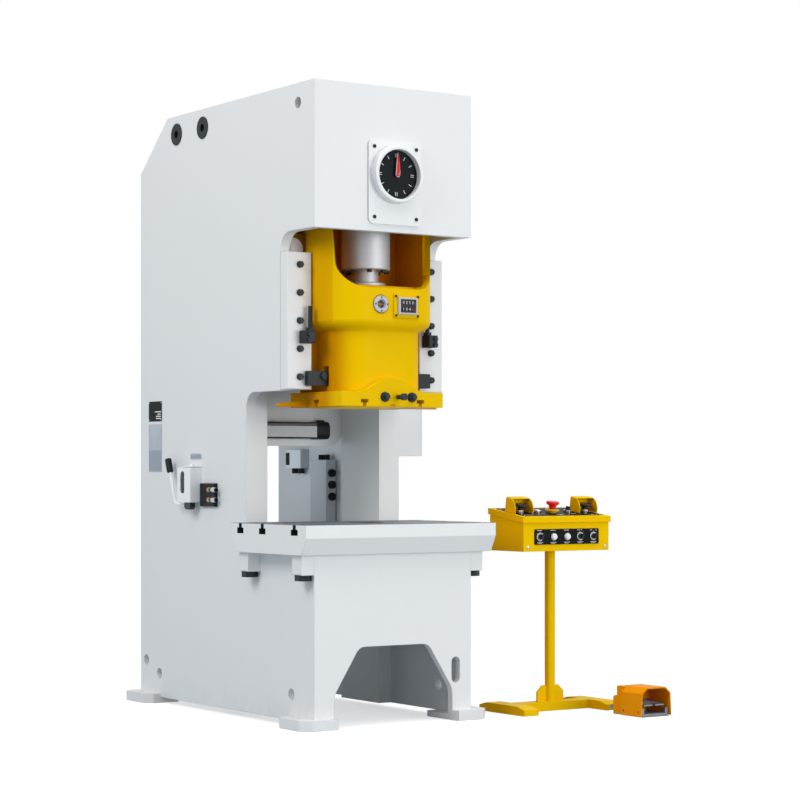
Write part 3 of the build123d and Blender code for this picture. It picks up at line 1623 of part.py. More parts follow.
# Hoods over the palm buttons
with BuildPart() as palm_guards:
    for side in (-1, 1):
        plane = lid_plane(console_x + side * palm_x, control_y, lid_panel[2])
        back = plane.origin + plane.y_dir * guard_back
        arch_plane = Plane(back, x_dir=plane.x_dir, z_dir=-plane.y_dir)
        with BuildSketch(arch_plane) as hood:
            with Locations((0, guard_high / 2)):
                Rectangle(guard_wide, guard_high)
            fillet(hood.vertices().group_by(Axis.Y)[-1], guard_corner)
        extrude(amount=guard_deep)
        with BuildSketch(arch_plane.offset(guard_thick)) as hollow:
            with Locations((0, (guard_high - guard_thick) / 2)):
                Rectangle(guard_wide - 2 * guard_thick, guard_high - guard_thick)
            fillet(hollow.vertices().group_by(Axis.Y)[-1], guard_corner - guard_thick)
        extrude(amount=guard_deep, mode=Mode.SUBTRACT)
        with BuildSketch(Plane(back + plane.x_dir * guard_wide, x_dir=-plane.y_dir, z_dir=-plane.x_dir)):
            with BuildLine():
                bulge = guard_bulge_share * (guard_deep - guard_top_deep)
                ThreePointArc(
                    (guard_deep, 0),
                    (guard_top_deep + bulge, guard_bulge_share * guard_high),
                    (guard_top_deep, guard_high),
                )
                Polyline(
                    (guard_top_deep, guard_high),
                    (guard_top_deep, guard_high + over),
                    (guard_deep + over, guard_high + over),
                    (guard_deep + over, 0),
                    (guard_deep, 0),
                )
            make_face()
        extrude(amount=2 * guard_wide, mode=Mode.SUBTRACT)
save(palm_guards, "palm_guards")

# Metal collars round the controls
with BuildPart() as button_collars:
    for spot_x, spot_r, spot_high, bore_r in (
        (-palm_x, palm_collar_r, palm_collar_high, palm_stem_r),
        (palm_x, palm_collar_r, palm_collar_high, palm_stem_r),
        (top_button_x, ring_r, ring_high, small_r),
        (top_selector_x, ring_r, ring_high, small_r),
    ):
        with BuildSketch(lid_plane(console_x + spot_x, control_y, lid_panel[2])):
            Circle(spot_r)
            Circle(bore_r + air_gap, mode=Mode.SUBTRACT)
        extrude(amount=spot_high)
    with BuildSketch(front_plane(box_front - front_panel[2])):
        with Locations(*[(console_x + x, panel_z) for x in front_xs]):
            Circle(front_ring_r)
            Circle(small_r + air_gap, mode=Mode.SUBTRACT)
    extrude(amount=front_ring)
save(button_collars, "button_collars")

# Palm buttons
for side, name in ((-1, "palm_button_left"), (1, "palm_button_right")):
    with BuildPart() as palm:
        with BuildSketch(lid_plane(console_x + side * palm_x, control_y, -lid_thick)):
            Circle(palm_stem_r)
        extrude(amount=palm_lift + lid_thick)
        with BuildSketch(lid_plane(console_x + side * palm_x, control_y, palm_lift - palm_travel)):
            Circle(palm_stem_r)
        with BuildSketch(lid_plane(console_x + side * palm_x, control_y, palm_lift)):
            Circle(palm_r)
        loft()
        with BuildSketch(lid_plane(console_x + side * palm_x, control_y, palm_lift)):
            Circle(palm_r)
        extrude(amount=palm_high / 2)
        fillet(palm.edges().sort_by(Axis.Z)[-1], palm_high / 4)
    save(palm, name)

# Stop button and its round base
with BuildPart() as stop_base:
    with BuildSketch(lid_plane(console_x + stop_x, control_y, lid_panel[2])):
        Circle(stop_skirt_r)
        Circle(palm_stem_r + air_gap, mode=Mode.SUBTRACT)
    extrude(amount=stop_skirt_high + stop_disc_high)
    with BuildSketch(lid_plane(console_x + stop_x, control_y, lid_panel[2] + stop_disc_high)):
        Circle(stop_disc_r)
        Circle(palm_stem_r + air_gap, mode=Mode.SUBTRACT)
    extrude(amount=stop_disc_high / 2)
save(stop_base, "stop_base")

stop_rest = lid_panel[2] + stop_skirt_high + stop_disc_high + palm_travel
with BuildPart() as stop_button:
    with BuildSketch(lid_plane(console_x + stop_x, control_y, -lid_thick)):
        Circle(palm_stem_r)
    extrude(amount=stop_rest + lid_thick)
    with BuildSketch(lid_plane(console_x + stop_x, control_y, stop_rest)):
        Circle(stop_neck_r)
    extrude(amount=stop_neck)
    with BuildSketch(lid_plane(console_x + stop_x, control_y, stop_rest + stop_neck / 2)):
        Circle(stop_neck_r)
    with BuildSketch(lid_plane(console_x + stop_x, control_y, stop_rest + stop_neck)):
        Circle(stop_r)
    loft()
    with BuildSketch(lid_plane(console_x + stop_x, control_y, stop_rest + stop_neck)):
        Circle(stop_r)
    extrude(amount=stop_cap / 2)
    fillet(stop_button.edges().sort_by(Axis.Z)[-1], stop_cap / 4)
save(stop_button, "stop_button")

# Metal push button and black selector on the lid
with BuildPart() as top_button:
    with BuildSketch(lid_plane(console_x + top_button_x, control_y, -lid_thick)):
        Circle(small_r)
    extrude(amount=lid_thick + small_high)
    fillet(top_button.edges().sort_by(Axis.Z)[-1], gib_edge)
save(top_button, "top_button")

with BuildPart() as top_selector:
    with BuildSketch(lid_plane(console_x + top_selector_x, control_y, -lid_thick)):
        Circle(small_r)
    extrude(amount=lid_thick + small_high)
    with BuildSketch(lid_plane(console_x + top_selector_x, control_y, small_high)):
        SlotOverall(knob_bar[1], knob_bar[0], rotation=90)
    extrude(amount=knob_bar[2])
save(top_selector, "top_selector")

# Selectors and white buttons on the front of the box
for place, name in ((0, "selector_left"), (3, "selector_middle"), (4, "selector_right")):
    with BuildPart() as selector:
        with BuildSketch(front_plane(box_front + box_wall)):
            with Locations((console_x + front_xs[place], panel_z)):
                Circle(small_r)
        extrude(amount=box_wall + front_panel[2] + front_ring + knob_high / 2)
        with BuildSketch(front_plane(box_front - front_panel[2] - front_ring - knob_high / 2)):
            with Locations((console_x + front_xs[place], panel_z)):
                SlotOverall(knob_bar[1], knob_bar[0], rotation=60)
        extrude(amount=knob_bar[2])
    save(selector, name)

for place, name in ((1, "white_button_left"), (2, "white_button_right")):
    with BuildPart() as white:
        with BuildSketch(front_plane(box_front + box_wall)):
            with Locations((console_x + front_xs[place], panel_z)):
                Circle(white_r)
        extrude(amount=box_wall + front_panel[2] + front_ring + white_proud)
        fillet(white.edges().sort_by(Axis.Y)[0], gib_edge)
    save(white, name)

# Foot switch hood, folded over the pedal and closed behind it
with BuildPart() as pedal_hood:
    with BuildSketch(front_plane(hood_back)):
        with BuildLine():
            Polyline(
                (pedal_x - hood_half, hood_low),
                (pedal_x - hood_shoulder_half, hood_shoulder),
                (pedal_x - hood_top_half, hood_high),
                (pedal_x + hood_top_half, hood_high),
                (pedal_x + hood_shoulder_half, hood_shoulder),
                (pedal_x + hood_half, hood_low),
                close=True,
            )
        make_face()
    extrude(amount=hood_back - hood_front)
    with BuildSketch(front_plane(hood_back - hood_wall)):
        with BuildLine():
            Polyline(
                (pedal_x - hood_half + hood_wall, hood_low),
                (pedal_x - hood_shoulder_half + hood_wall, hood_shoulder - hood_wall / 2),
                (pedal_x - hood_top_half + hood_wall / 2, hood_high - hood_wall),
                (pedal_x + hood_top_half - hood_wall / 2, hood_high - hood_wall),
                (pedal_x + hood_shoulder_half - hood_wall, hood_shoulder - hood_wall / 2),
                (pedal_x + hood_half - hood_wall, hood_low),
                close=True,
            )
        make_face()
    extrude(amount=hood_back - hood_front, mode=Mode.SUBTRACT)
    box_between(
        (pedal_x - hood_shoulder_half + block_in, pedal_x + hood_shoulder_half - block_in),
        (hood_back - hood_wall, block_back),
        (hood_low, hood_high - hood_wall / 2),
    )
    box_between((pedal_x - heel_half, pedal_x + heel_half), (hood_back - hood_wall, heel_back), (hood_low, heel_high))
    chamfer(pedal_hood.edges().filter_by(Axis.X).group_by(Axis.Y)[-1].sort_by(Axis.Z)[-1], hood_wall)
save(pedal_hood, "pedal_hood")

# Foot switch tray, with lugs that carry the pedal
with BuildPart() as pedal_base:
    box_between((pedal_x - tray_half, pedal_x + tray_half), (tray_front, tray_back - hood_wall), (0, tray_floor))
    for side in (-1, 1):
        box_between(
            (pedal_x + side * tray_half, pedal_x + side * (tray_half - tray_cheek_thick)),
            (tray_front, pedal_front + tray_cheek_thick),
            (0, tray_cheek),
        )
        lug_in = pedal_half + air_gap
        box_between(
            (pedal_x + side * lug_in, pedal_x + side * (lug_in + lug_thick)),
            (pedal_hinge_y - lug_half_long, pedal_hinge_y + lug_half_long / 2),
            (0, pedal_hinge_z + lug_half_long),
        )
    with BuildSketch(Plane.YZ.offset(pedal_x - pedal_half - air_gap - lug_thick)):
        with Locations((pedal_hinge_y, pedal_hinge_z)):
            Circle(pedal_pin_r)
    extrude(amount=2 * (pedal_half + air_gap + lug_thick))
    box_between((pedal_x - tray_half, pedal_x + tray_half), (hood_front, heel_back), (0, hood_low))
    with BuildSketch(front_plane(heel_back + cord_gland_long)):
        with Locations((gland_x, cord_gland_z)):
            RegularPolygon(cord_gland_r, 6, major_radius=False)
    extrude(amount=cord_gland_long)
save(pedal_base, "pedal_base")

# Pedal on its hinge pin
with BuildPart() as pedal:
    with BuildSketch(Plane.YZ.offset(pedal_x - pedal_half)):
        with BuildLine():
            Polyline(
                (pedal_front, pedal_front_z - pedal_thick),
                (pedal_hinge_y, pedal_hinge_z - pedal_thick / 2),
                (pedal_hinge_y, pedal_hinge_z + pedal_thick / 2),
                (pedal_front, pedal_front_z),
                close=True,
            )
        make_face()
        with Locations((pedal_hinge_y, pedal_hinge_z)):
            Circle(pedal_hub_r)
            Circle(pedal_pin_r + run_gap, mode=Mode.SUBTRACT)
    extrude(amount=2 * pedal_half)
    box_between(
        (pedal_x - pedal_notch / 2, pedal_x + pedal_notch / 2),
        (pedal_front - over, pedal_front + pedal_notch_deep),
        (0, pedal_hinge_z + over),
        Mode.SUBTRACT,
    )
save(pedal, "pedal")
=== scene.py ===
import json
import math
from types import SimpleNamespace
import bmesh
import bpy
import numpy as np
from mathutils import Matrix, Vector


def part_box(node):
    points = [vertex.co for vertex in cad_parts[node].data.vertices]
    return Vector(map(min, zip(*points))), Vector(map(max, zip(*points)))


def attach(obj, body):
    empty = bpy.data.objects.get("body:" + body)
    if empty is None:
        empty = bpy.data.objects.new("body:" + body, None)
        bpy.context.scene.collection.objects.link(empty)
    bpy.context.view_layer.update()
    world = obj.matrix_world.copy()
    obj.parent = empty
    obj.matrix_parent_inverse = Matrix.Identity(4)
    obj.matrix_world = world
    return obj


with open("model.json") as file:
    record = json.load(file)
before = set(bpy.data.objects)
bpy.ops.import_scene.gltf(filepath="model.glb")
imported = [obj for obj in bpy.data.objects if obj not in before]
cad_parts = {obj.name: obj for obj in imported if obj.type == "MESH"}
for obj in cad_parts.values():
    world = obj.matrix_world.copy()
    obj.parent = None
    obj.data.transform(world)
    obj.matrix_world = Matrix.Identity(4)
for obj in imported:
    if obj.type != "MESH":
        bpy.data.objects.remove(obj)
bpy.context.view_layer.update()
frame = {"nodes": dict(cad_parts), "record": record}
nodes = frame["nodes"]
slotOf = {row["node"]: row["material_slot"] for row in frame["record"]["subparts"]}
print("press: loaded", len(nodes), "nodes")


# a node's box to the micrometre: its six faces and its middle, in millimetres, or in metres with a unit of 1
def boxOf(node, unit=1000):
    low, high = (np.round(np.array(corner), 6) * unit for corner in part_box(node))
    left, front, bottom = low.tolist()
    right, back, top = high.tolist()
    x, y, z = ((low + high) / 2).tolist()
    return SimpleNamespace(left=left, right=right, front=front, back=back, bottom=bottom, top=top, x=x, y=y, z=z)


# Shader maths

class Wire:
    # one socket of a material's tree; sums on it put in Math nodes
    def __init__(self, tree, socket=None):
        self.tree = tree
        self.socket = socket

    # any node: its type, its settings first, then the values or links of its sockets
    def add(self, kind, settings=None, sockets=None, out=0):
        node = self.tree.nodes.new(kind)
        for key, value in (settings or {}).items():
            setattr(node, key, value)
        for key, value in (sockets or {}).items():
            if isinstance(value, Wire):
                self.tree.links.new(value.socket, node.inputs[key])
            else:
                node.inputs[key].default_value = value
        return Wire(self.tree, node.outputs[out] if len(node.outputs) else None)

    def maths(self, operation, *values):
        return self.add("ShaderNodeMath", {"operation": operation}, dict(enumerate(values)))

    def __add__(self, other):
        return self.maths("ADD", self, other)

    def __sub__(self, other):
        return self.maths("SUBTRACT", self, other)

    def __rsub__(self, other):
        return self.maths("SUBTRACT", other, self)

    def __mul__(self, other):
        return self.maths("MULTIPLY", self, other)

    def __lt__(self, other):
        return self.maths("LESS_THAN", self, other)

    def __gt__(self, other):
        return self.maths("GREATER_THAN", self, other)

    def __abs__(self):
        return self.maths("ABSOLUTE", self)

    __radd__ = __add__
    __rmul__ = __mul__

    def most(self, other):
        return self.maths("MAXIMUM", self, other)

    def least(self, other):
        return self.maths("MINIMUM", self, other)

    # the three parts of a vector
    def parts(self):
        split = self.add("ShaderNodeSeparateXYZ", sockets={0: self})
        return [Wire(self.tree, socket) for socket in split.socket.node.outputs]

    # 0 below low, 1 above high, eased between
    def ramp(self, low, high):
        return self.add("ShaderNodeMapRange", {"interpolation_type": "SMOOTHSTEP"},
                        {"Value": self, "From Min": low, "From Max": high})

    def noise(self, scale, detail=2.0, stretch=None):
        place = self
        if stretch:
            place = self.add("ShaderNodeMapping", None, {"Vector": self, "Scale": stretch})
        return self.add("ShaderNodeTexNoise", None,
                        {"Vector": place, "Scale": scale, "Detail": detail})

    # a colour times a value
    def tint(self, colour):
        return self.add("ShaderNodeVectorMath", {"operation": "SCALE"}, {0: colour[:3], "Scale": self})

    # self as the factor between two colours
    def between(self, first, second):
        return self.add("ShaderNodeMix", {"data_type": "RGBA"}, {0: self, 6: first, 7: second}, out=2)

    # self as the factor between two vectors
    def between3(self, first, second):
        return self.add("ShaderNodeMix", {"data_type": "VECTOR"}, {0: self, 4: first, 5: second}, out=1)

    # a normal that rounds every edge by a radius
    def eased(self, radius):
        return self.add("ShaderNodeBevel", {"samples": 4}, {"Radius": radius})

    # self as the height of a bump on a normal
    def lump(self, distance, strength, normal):
        return self.add("ShaderNodeBump", None,
                        {"Height": self, "Distance": distance, "Strength": strength, "Normal": normal})

    # 1 for the named kinds of ray
    def rays(self, *kinds):
        outs = self.add("ShaderNodeLightPath").socket.node.outputs
        mask = Wire(self.tree, outs[kinds[0]])
        for kind in kinds[1:]:
            mask = mask.most(Wire(self.tree, outs[kind]))
        return mask


finishes = {}


# an empty finish; gives back its Object coordinates, to build on
def newFinish(name):
    material = bpy.data.materials.new(name)
    material.use_nodes = True
    material.node_tree.nodes.clear()
    finishes[name] = material
    return Wire(material.node_tree).add("ShaderNodeTexCoord", out="Object")


def closeFinish(wire, sockets):
    shader = wire.add("ShaderNodeBsdfPrincipled", None, sockets)
    wire.add("ShaderNodeOutputMaterial", None, {"Surface": shader})


def rgba(red, green, blue):
    return (red, green, blue, 1.0)


# Enamel and powder coat: a soft cloud in the tone, a fine orange peel, edges eased by a few millimetres
paintLooks = {
    "frame_paint": dict(colour=rgba(0.78, 0.788, 0.80), rough=0.42, cloud=0.035, peel=0.035, edge=0.004,
                        dust=0.10),
    # the ram's side, neck, pocket and flange-gap colours are painted shade
    "ram_paint": dict(colour=rgba(0.84, 0.52, 0.0), gloss=0.02, rough=0.36, cloud=0.05, peel=0.03, edge=0.004,
                      sides=rgba(0.76, 0.40, 0.0), above=(1.27, 1.30), beyond=0.225,
                      inside=rgba(0.70, 0.25, 0.0), neckShade=rgba(0.64, 0.27, 0.0),
                      bare=rgba(0.62, 0.60, 0.58), flangeShade=rgba(0.20, 0.085, 0.01)),
    # the console's side colour is painted shade
    "console_paint": dict(colour=rgba(0.87, 0.53, 0.0), gloss=0.02, rough=0.42, cloud=0.05, peel=0.05,
                          edge=0.003, dust=0.03, sides=rgba(0.82, 0.40, 0.0)),
    "switch_paint": dict(colour=rgba(0.86, 0.29, 0.0), gloss=0.02, rough=0.42, cloud=0.05, peel=0.05,
                         edge=0.002, dust=0.05),
    # the dial's side colour is painted shade
    "dial_paint": dict(colour=rgba(0.80, 0.81, 0.825), rough=0.36, cloud=0.02, peel=0.02, edge=0.001,
                       sides=rgba(0.58, 0.59, 0.63)),
    "cabinet_paint": dict(colour=rgba(0.76, 0.775, 0.79), rough=0.48, cloud=0.03, peel=0.08, edge=0.002),
    "tank_paint": dict(colour=rgba(0.89, 0.90, 0.92), rough=0.40, cloud=0.03, peel=0.03, edge=0.002,
                       fork=rgba(0.013, 0.015, 0.017), forkTop=0.8437, forkBack=0.236),
    "box_grey": dict(colour=rgba(0.55, 0.575, 0.60), rough=0.45, cloud=0.04, peel=0.05, edge=0.002,
                     pale=rgba(0.90, 0.92, 0.94), paleFrom=0.45),
    "motor_paint": dict(colour=rgba(0.16, 0.19, 0.22), rough=0.45, cloud=0.06, peel=0.06, edge=0.002),
    "lamp_grey": dict(colour=rgba(0.52, 0.545, 0.57), rough=0.35, cloud=0.03, peel=0.02, edge=0.002,
                      bands=rgba(0.012, 0.013, 0.015), stripLow=1.1115, stripHigh=1.1560),
    "plate_silver": dict(colour=rgba(0.45, 0.485, 0.56), rough=0.38, cloud=0.25, peel=0.02, edge=0.001),
    "plate_slate": dict(colour=rgba(0.30, 0.34, 0.42), rough=0.38, cloud=0.25, peel=0.02, edge=0.001),
}
# what all coats share, unless a coat says otherwise; above and beyond bound the painted shade on the sides
coatLook = dict(gloss=0.4, cloudScale=1.4, fineScale=23.0, fineShare=0.4, cloudRough=0.06, fineRough=0.10,
                peelScale=240.0, peelDeep=0.0006, sideways=(0.6, 0.98), above=(-1, 0), beyond=-1)
dustLook = dict(top=0.16, scale=17.0, patchy=(0.35, 0.75), tone=rgba(0.33, 0.31, 0.28))
frontPlates, crossPlates, gibs = (boxOf(name, 1) for name in ("front_plates", "cross_plates", "gibs"))
seams = dict(y=frontPlates.back, x=crossPlates.right, half=0.009,  # where frame plates meet, ground flush
             outside=frontPlates.right - 0.0008)
gibSeam = dict(y=gibs.back, half=0.0013, low=gibs.bottom, high=gibs.top, tone=rgba(0.42, 0.43, 0.45))
# where the ram's painted shade lies: in the pocket, round the guide flanges, on the neck beside the gibs
pocketLook = dict(half=0.2128, front=(-0.645, -0.600), back=-0.388, low=1.688)
railLook = dict(root=0.2462, edge=0.2595, top=1.869, corner=0.045, low=1.28)
neckLook = dict(out=(0.09, 0.195), back=(-0.665, -0.570), shoulder=(1.49, 1.55), upper=0.15)


# the ram's coat with painted shade: painted shade beside the gibs and in the pocket, bare guide flanges with a rounded
# top, painted shadow in the gap beside them and above them
def ramCoatAndShade(colour, look, x, y, z):
    out = abs(x)
    upper = z.ramp(*neckLook["shoulder"])
    # painted shade on the neck beside the gibs, fainter above the shoulder
    neckShade = out.ramp(*neckLook["out"]) * y.ramp(*neckLook["back"]) * (1 - upper * (1 - neckLook["upper"]))
    colour = neckShade.between(colour, look["neckShade"])
    # painted shade inside the pocket
    pocket = (out < pocketLook["half"]) * y.ramp(*pocketLook["front"]) * (z > pocketLook["low"])
    colour = (pocket * (y < pocketLook["back"])).between(colour, look["inside"])
    # bare grey guide flanges, with painted shadow in the gap beside them and above their rounded top
    corner = railLook["corner"]
    beside = out - railLook["edge"]
    drop = z - (railLook["top"] - corner)
    across = corner - beside
    cut = (across > 0) * (drop > 0) * (across * across + drop * drop > corner * corner)
    rail = (beside > 0) * (drop < corner) * (1 - cut)
    side = (out > railLook["root"]) * (z > railLook["low"])
    return side.between(colour, rail.between(look["flangeShade"], look["bare"]))


def paint(name, look):
    place = newFinish(name)
    x, y, z = place.parts()
    cloud = place.noise(look["cloudScale"], 3.0)
    fine = place.noise(look["fineScale"], 3.0)
    tone = 1 + look["cloud"] * (cloud - 0.5) + look["fineShare"] * look["cloud"] * (fine - 0.5)
    colour = tone.tint(look["colour"])
    if "dust" in look:
        low = (1 - z.ramp(0.0, dustLook["top"])) * place.noise(dustLook["scale"], 4.0).ramp(*dustLook["patchy"])
        colour = (low * look["dust"]).between(colour, dustLook["tone"])
    edge = place.eased(look["edge"])
    if name == "frame_paint":  # no eased edge at the flush seams, a fine dark joint beside the gibs
        outside = abs(x) > seams["outside"]
        flush = (abs(y - seams["y"]) < seams["half"]) * outside
        flush = flush.most(abs(abs(x) - seams["x"]) < seams["half"])
        edge = flush.between3(edge, place.add("ShaderNodeNewGeometry", out="Normal"))
        joint = (abs(y - gibSeam["y"]) < gibSeam["half"]) * outside
        joint = joint * (z > gibSeam["low"]) * (z < gibSeam["high"])
        colour = joint.between(colour, gibSeam["tone"])
    if "fork" in look:  # black fork under the tank
        fork = (z < look["forkTop"]) * (y < look["forkBack"])
        colour = fork.between(colour, look["fork"])
    if "pale" in look:  # the box at the back is almost white
        colour = (y > look["paleFrom"]).between(colour, look["pale"])
    if "sides" in look:  # painted shade: a darker tone on the faces to the left and right
        turn = place.add("ShaderNodeNewGeometry", out="Normal").parts()[0]
        aside = abs(turn).ramp(*look["sideways"]) * z.ramp(*look["above"]) * (abs(x) > look["beyond"])
        colour = aside.between(colour, look["sides"])
    # painted shade beside the gibs, in the pocket and round the guide flanges
    if "inside" in look:
        colour = ramCoatAndShade(colour, look, x, y, z)
    if "bands" in look:  # a pale strip between two black ones
        strip = (z > look["stripLow"]) * (z < look["stripHigh"])
        colour = strip.between(look["bands"], colour)
    closeFinish(place, {
        "Base Color": colour,
        "Roughness": look["rough"] + look["fineRough"] * (fine - 0.5) + look["cloudRough"] * (cloud - 0.5),
        "Specular IOR Level": look["gloss"],
        "Normal": place.noise(look["peelScale"], 1.0).lump(look["peelDeep"], look["peel"], edge),
    })


for paintName, paintLook in paintLooks.items():
    paint(paintName, {**coatLook, **paintLook})

# Ground, turned and blacked metal: grinding lines run along one axis and break up the gloss
metalLooks = {
    "black_steel": dict(colour=rgba(0.025, 0.032, 0.037), metal=0.1, gloss=0.14, rough=0.42,
                        lines=(60, 60, 60), wear=0.25),
    "bush_steel": dict(colour=rgba(0.020, 0.029, 0.036), metal=0.1, gloss=0.11, rough=0.40,
                       lines=(8, 300, 300), wear=0.30),
    "bush_bright": dict(colour=rgba(0.50, 0.52, 0.55), metal=0.8, rough=0.34, lines=(80, 300, 300), wear=0.30),
    "bright_steel": dict(colour=rgba(0.53, 0.545, 0.59), metal=0.6, rough=0.56, lines=(6, 6, 420), wear=0.22,
                         front=-0.66, plain=rgba(0.46, 0.47, 0.50)),
    "bush_bronze": dict(colour=rgba(0.45, 0.27, 0.12), metal=0.6, rough=0.36, lines=(40, 300, 40), wear=0.3),
    "wheel_iron": dict(colour=rgba(0.09, 0.095, 0.10), metal=0.4, rough=0.55, lines=(30, 30, 30), wear=0.4),
    "collar_chrome": dict(colour=rgba(0.62, 0.63, 0.65), metal=1.0, rough=0.16, lines=(200, 200, 30), wear=0.15),
    "pedal_metal": dict(colour=rgba(0.19, 0.205, 0.225), metal=0.45, rough=0.45, lines=(20, 200, 200), wear=0.3),
}
groundLook = dict(gloss=0.5, patchScale=14.0, patchShare=0.6, lineRough=0.18, patchRough=0.12, edge=0.0012,
                  lineDeep=0.0004, lineBump=0.08, dull=0.75)  # what all metals share


def metal(name, look):
    place = newFinish(name)
    lines = place.noise(1.0, 3.0, stretch=look["lines"])
    patch = place.noise(look["patchScale"], 3.0)
    tone = 1 + look["wear"] * (lines - 0.5) + look["wear"] * look["patchShare"] * (patch - 0.5)
    colour, shine = tone.tint(look["colour"]), look["metal"]
    if "front" in look:  # the fittings on the ram's face are duller than the screw
        ahead = place.parts()[1] < look["front"]
        colour = ahead.between(colour, tone.tint(look["plain"]))
        shine = look["metal"] * (1 - look["dull"] * ahead)
    closeFinish(place, {
        "Base Color": colour,
        "Metallic": shine,
        "Specular IOR Level": look["gloss"],
        "Roughness": look["rough"] + look["lineRough"] * (lines - 0.5) + look["patchRough"] * (patch - 0.5),
        "Normal": lines.lump(look["lineDeep"], look["lineBump"], place.eased(look["edge"])),
    })


for metalName, metalLook in metalLooks.items():
    metal(metalName, {**groundLook, **metalLook})

# Moulded plastic, rubber and printed faces
plasticLooks = {
    "dial_black": dict(colour=rgba(0.010, 0.013, 0.015), gloss=0.06, rough=0.40, grain=0.10),
    "pointer_red": dict(colour=rgba(0.80, 0.006, 0.010), gloss=0.15, rough=0.32, grain=0.03),
    "belt_rubber": dict(colour=rgba(0.02, 0.02, 0.021), gloss=0.2, rough=0.75, grain=0.25),
    "black_plastic": dict(colour=rgba(0.013, 0.015, 0.017), gloss=0.14, rough=0.42, grain=0.12),
    "panel_black": dict(colour=rgba(0.008, 0.009, 0.010), gloss=0.05, rough=0.46, grain=0.10),
    "knob_black": dict(colour=rgba(0.013, 0.014, 0.016), gloss=0.25, rough=0.32, grain=0.05),
    "stop_red": dict(colour=rgba(0.72, 0.006, 0.008), gloss=0.2, rough=0.30, grain=0.04),
    "stop_yellow": dict(colour=rgba(0.80, 0.50, 0.0), gloss=0.2, rough=0.34, grain=0.04),
    "button_white": dict(colour=rgba(0.80, 0.81, 0.81), gloss=0.3, rough=0.32, grain=0.03),
    "sight_dark": dict(colour=rgba(0.030, 0.038, 0.043), gloss=0.2, rough=0.16, grain=0.01),
    "line_orange": dict(colour=rgba(0.55, 0.17, 0.02), gloss=0.2, rough=0.4, grain=0.03),
}
mouldLook = dict(grainScale=420.0, patchScale=30.0, patchTone=0.12, patchRough=0.16, grainRough=0.08,
                 edge=0.0010, grainDeep=0.0004)  # what all plastics share


def plastic(name, look):
    place = newFinish(name)
    grain = place.noise(look["grainScale"], 2.0)
    patch = place.noise(look["patchScale"], 3.0)
    closeFinish(place, {
        "Base Color": (1 + look["patchTone"] * (patch - 0.5)).tint(look["colour"]),
        "Roughness": look["rough"] + look["patchRough"] * (patch - 0.5) + look["grainRough"] * (grain - 0.5),
        "Specular IOR Level": look["gloss"],
        "Normal": grain.lump(look["grainDeep"], look["grain"], place.eased(look["edge"])),
    })


for plasticName, plasticLook in plasticLooks.items():
    plastic(plasticName, {**mouldLook, **plasticLook})

# Bolster: white painted edges, a ground dark top with lines along X, painted shade: black inside the T-slots and the
# scrap hole
bolsterLook = dict(paint=rgba(0.78, 0.788, 0.80), steel=rgba(0.155, 0.175, 0.205), dark=rgba(0.006, 0.007, 0.008),
                   top=boxOf("bolster", 1).top - 0.0012, floor=0.7299, slots=(-0.278, -0.446, -0.682), neck=0.0112,
                   head=0.0243, headTop=0.7521, holeY=-0.5, hole=0.0756, lines=(5, 380, 5), patchScale=6.0,
                   fineScale=23.0, coatTone=0.03, steelTone=0.5, metal=0.55, rough=0.42, fineRough=0.1, topRough=0.06,
                   lineRough=0.2, slotRough=0.4, lineDeep=0.0003, lineBump=0.10, edge=0.003)


def bolsterFinish(name, look):
    place = newFinish(name)
    x, y, z = place.parts()
    lines = place.noise(1.0, 3.0, stretch=look["lines"])
    patch = place.noise(look["patchScale"], 4.0)
    fine = place.noise(look["fineScale"], 3.0)
    top = z > look["top"]
    # painted shade: the inside of the T-slots and of the scrap hole is coloured near black
    slot = None
    for middle in look["slots"]:
        off = abs(y - middle)
        inside = ((off < look["neck"]) + (off < look["head"]) * (z < look["headTop"])).least(1)
        slot = inside if slot is None else slot.most(inside)
    slot = slot * (1 - top) * (z > look["floor"])
    off = y - look["holeY"]
    hole = (x * x + off * off) < look["hole"] * look["hole"]
    slot = slot.most(hole * (1 - top))
    coat = (1 + look["coatTone"] * (patch - 0.5)).tint(look["paint"])
    steel = (1 + look["steelTone"] * (lines - 0.5) + look["steelTone"] * (patch - 0.5)).tint(look["steel"])
    ground = top * (look["topRough"] + look["lineRough"] * (lines - 0.5))
    closeFinish(place, {
        "Base Color": slot.between(top.between(coat, steel), look["dark"]),
        "Metallic": top * look["metal"],
        "Roughness": look["rough"] + look["fineRough"] * (fine - 0.5) + ground + slot * look["slotRough"],
        "Normal": (lines * top).lump(look["lineDeep"], look["lineBump"], place.eased(look["edge"])),
    })


bolsterFinish("bolster_steel", bolsterLook)

for nodeName, node in nodes.items():
    node.data.materials.clear()
    node.data.materials.append(finishes[slotOf[nodeName]])
print("press: finishes", len(finishes))


# Shapes are worked out in millimetres as grids of points and put into one mesh per piece

# quads between neighbouring rows of a grid; the last column joins the first
def gridFaces(rows, columns):
    r = np.arange(rows - 1)[:, None]
    c = np.arange(columns)[None, :]
    n = (c + 1) % columns
    quads = np.stack([r * columns + c, r * columns + n, (r + 1) * columns + n, (r + 1) * columns + c], axis=-1)
    return quads.reshape(-1, 4)


# a profile of (radius, height) turned about the height axis
def turned(profile, sides=40):
    radius, height = np.asarray(profile, float).T
    angle = np.linspace(0, 2 * np.pi, sides, endpoint=False)
    points = np.stack([radius[:, None] * np.cos(angle), radius[:, None] * np.sin(angle),
                       np.repeat(height[:, None], sides, axis=1)], axis=-1)
    return points.reshape(-1, 3), gridFaces(len(radius), sides)


# an even polygon outline, its flats a given distance across
def evenLoop(sides, across):
    angle = np.arange(sides) * 2 * np.pi / sides + np.pi / sides
    return np.stack([np.cos(angle), np.sin(angle)], axis=-1) * across / 2 / np.cos(np.pi / sides)


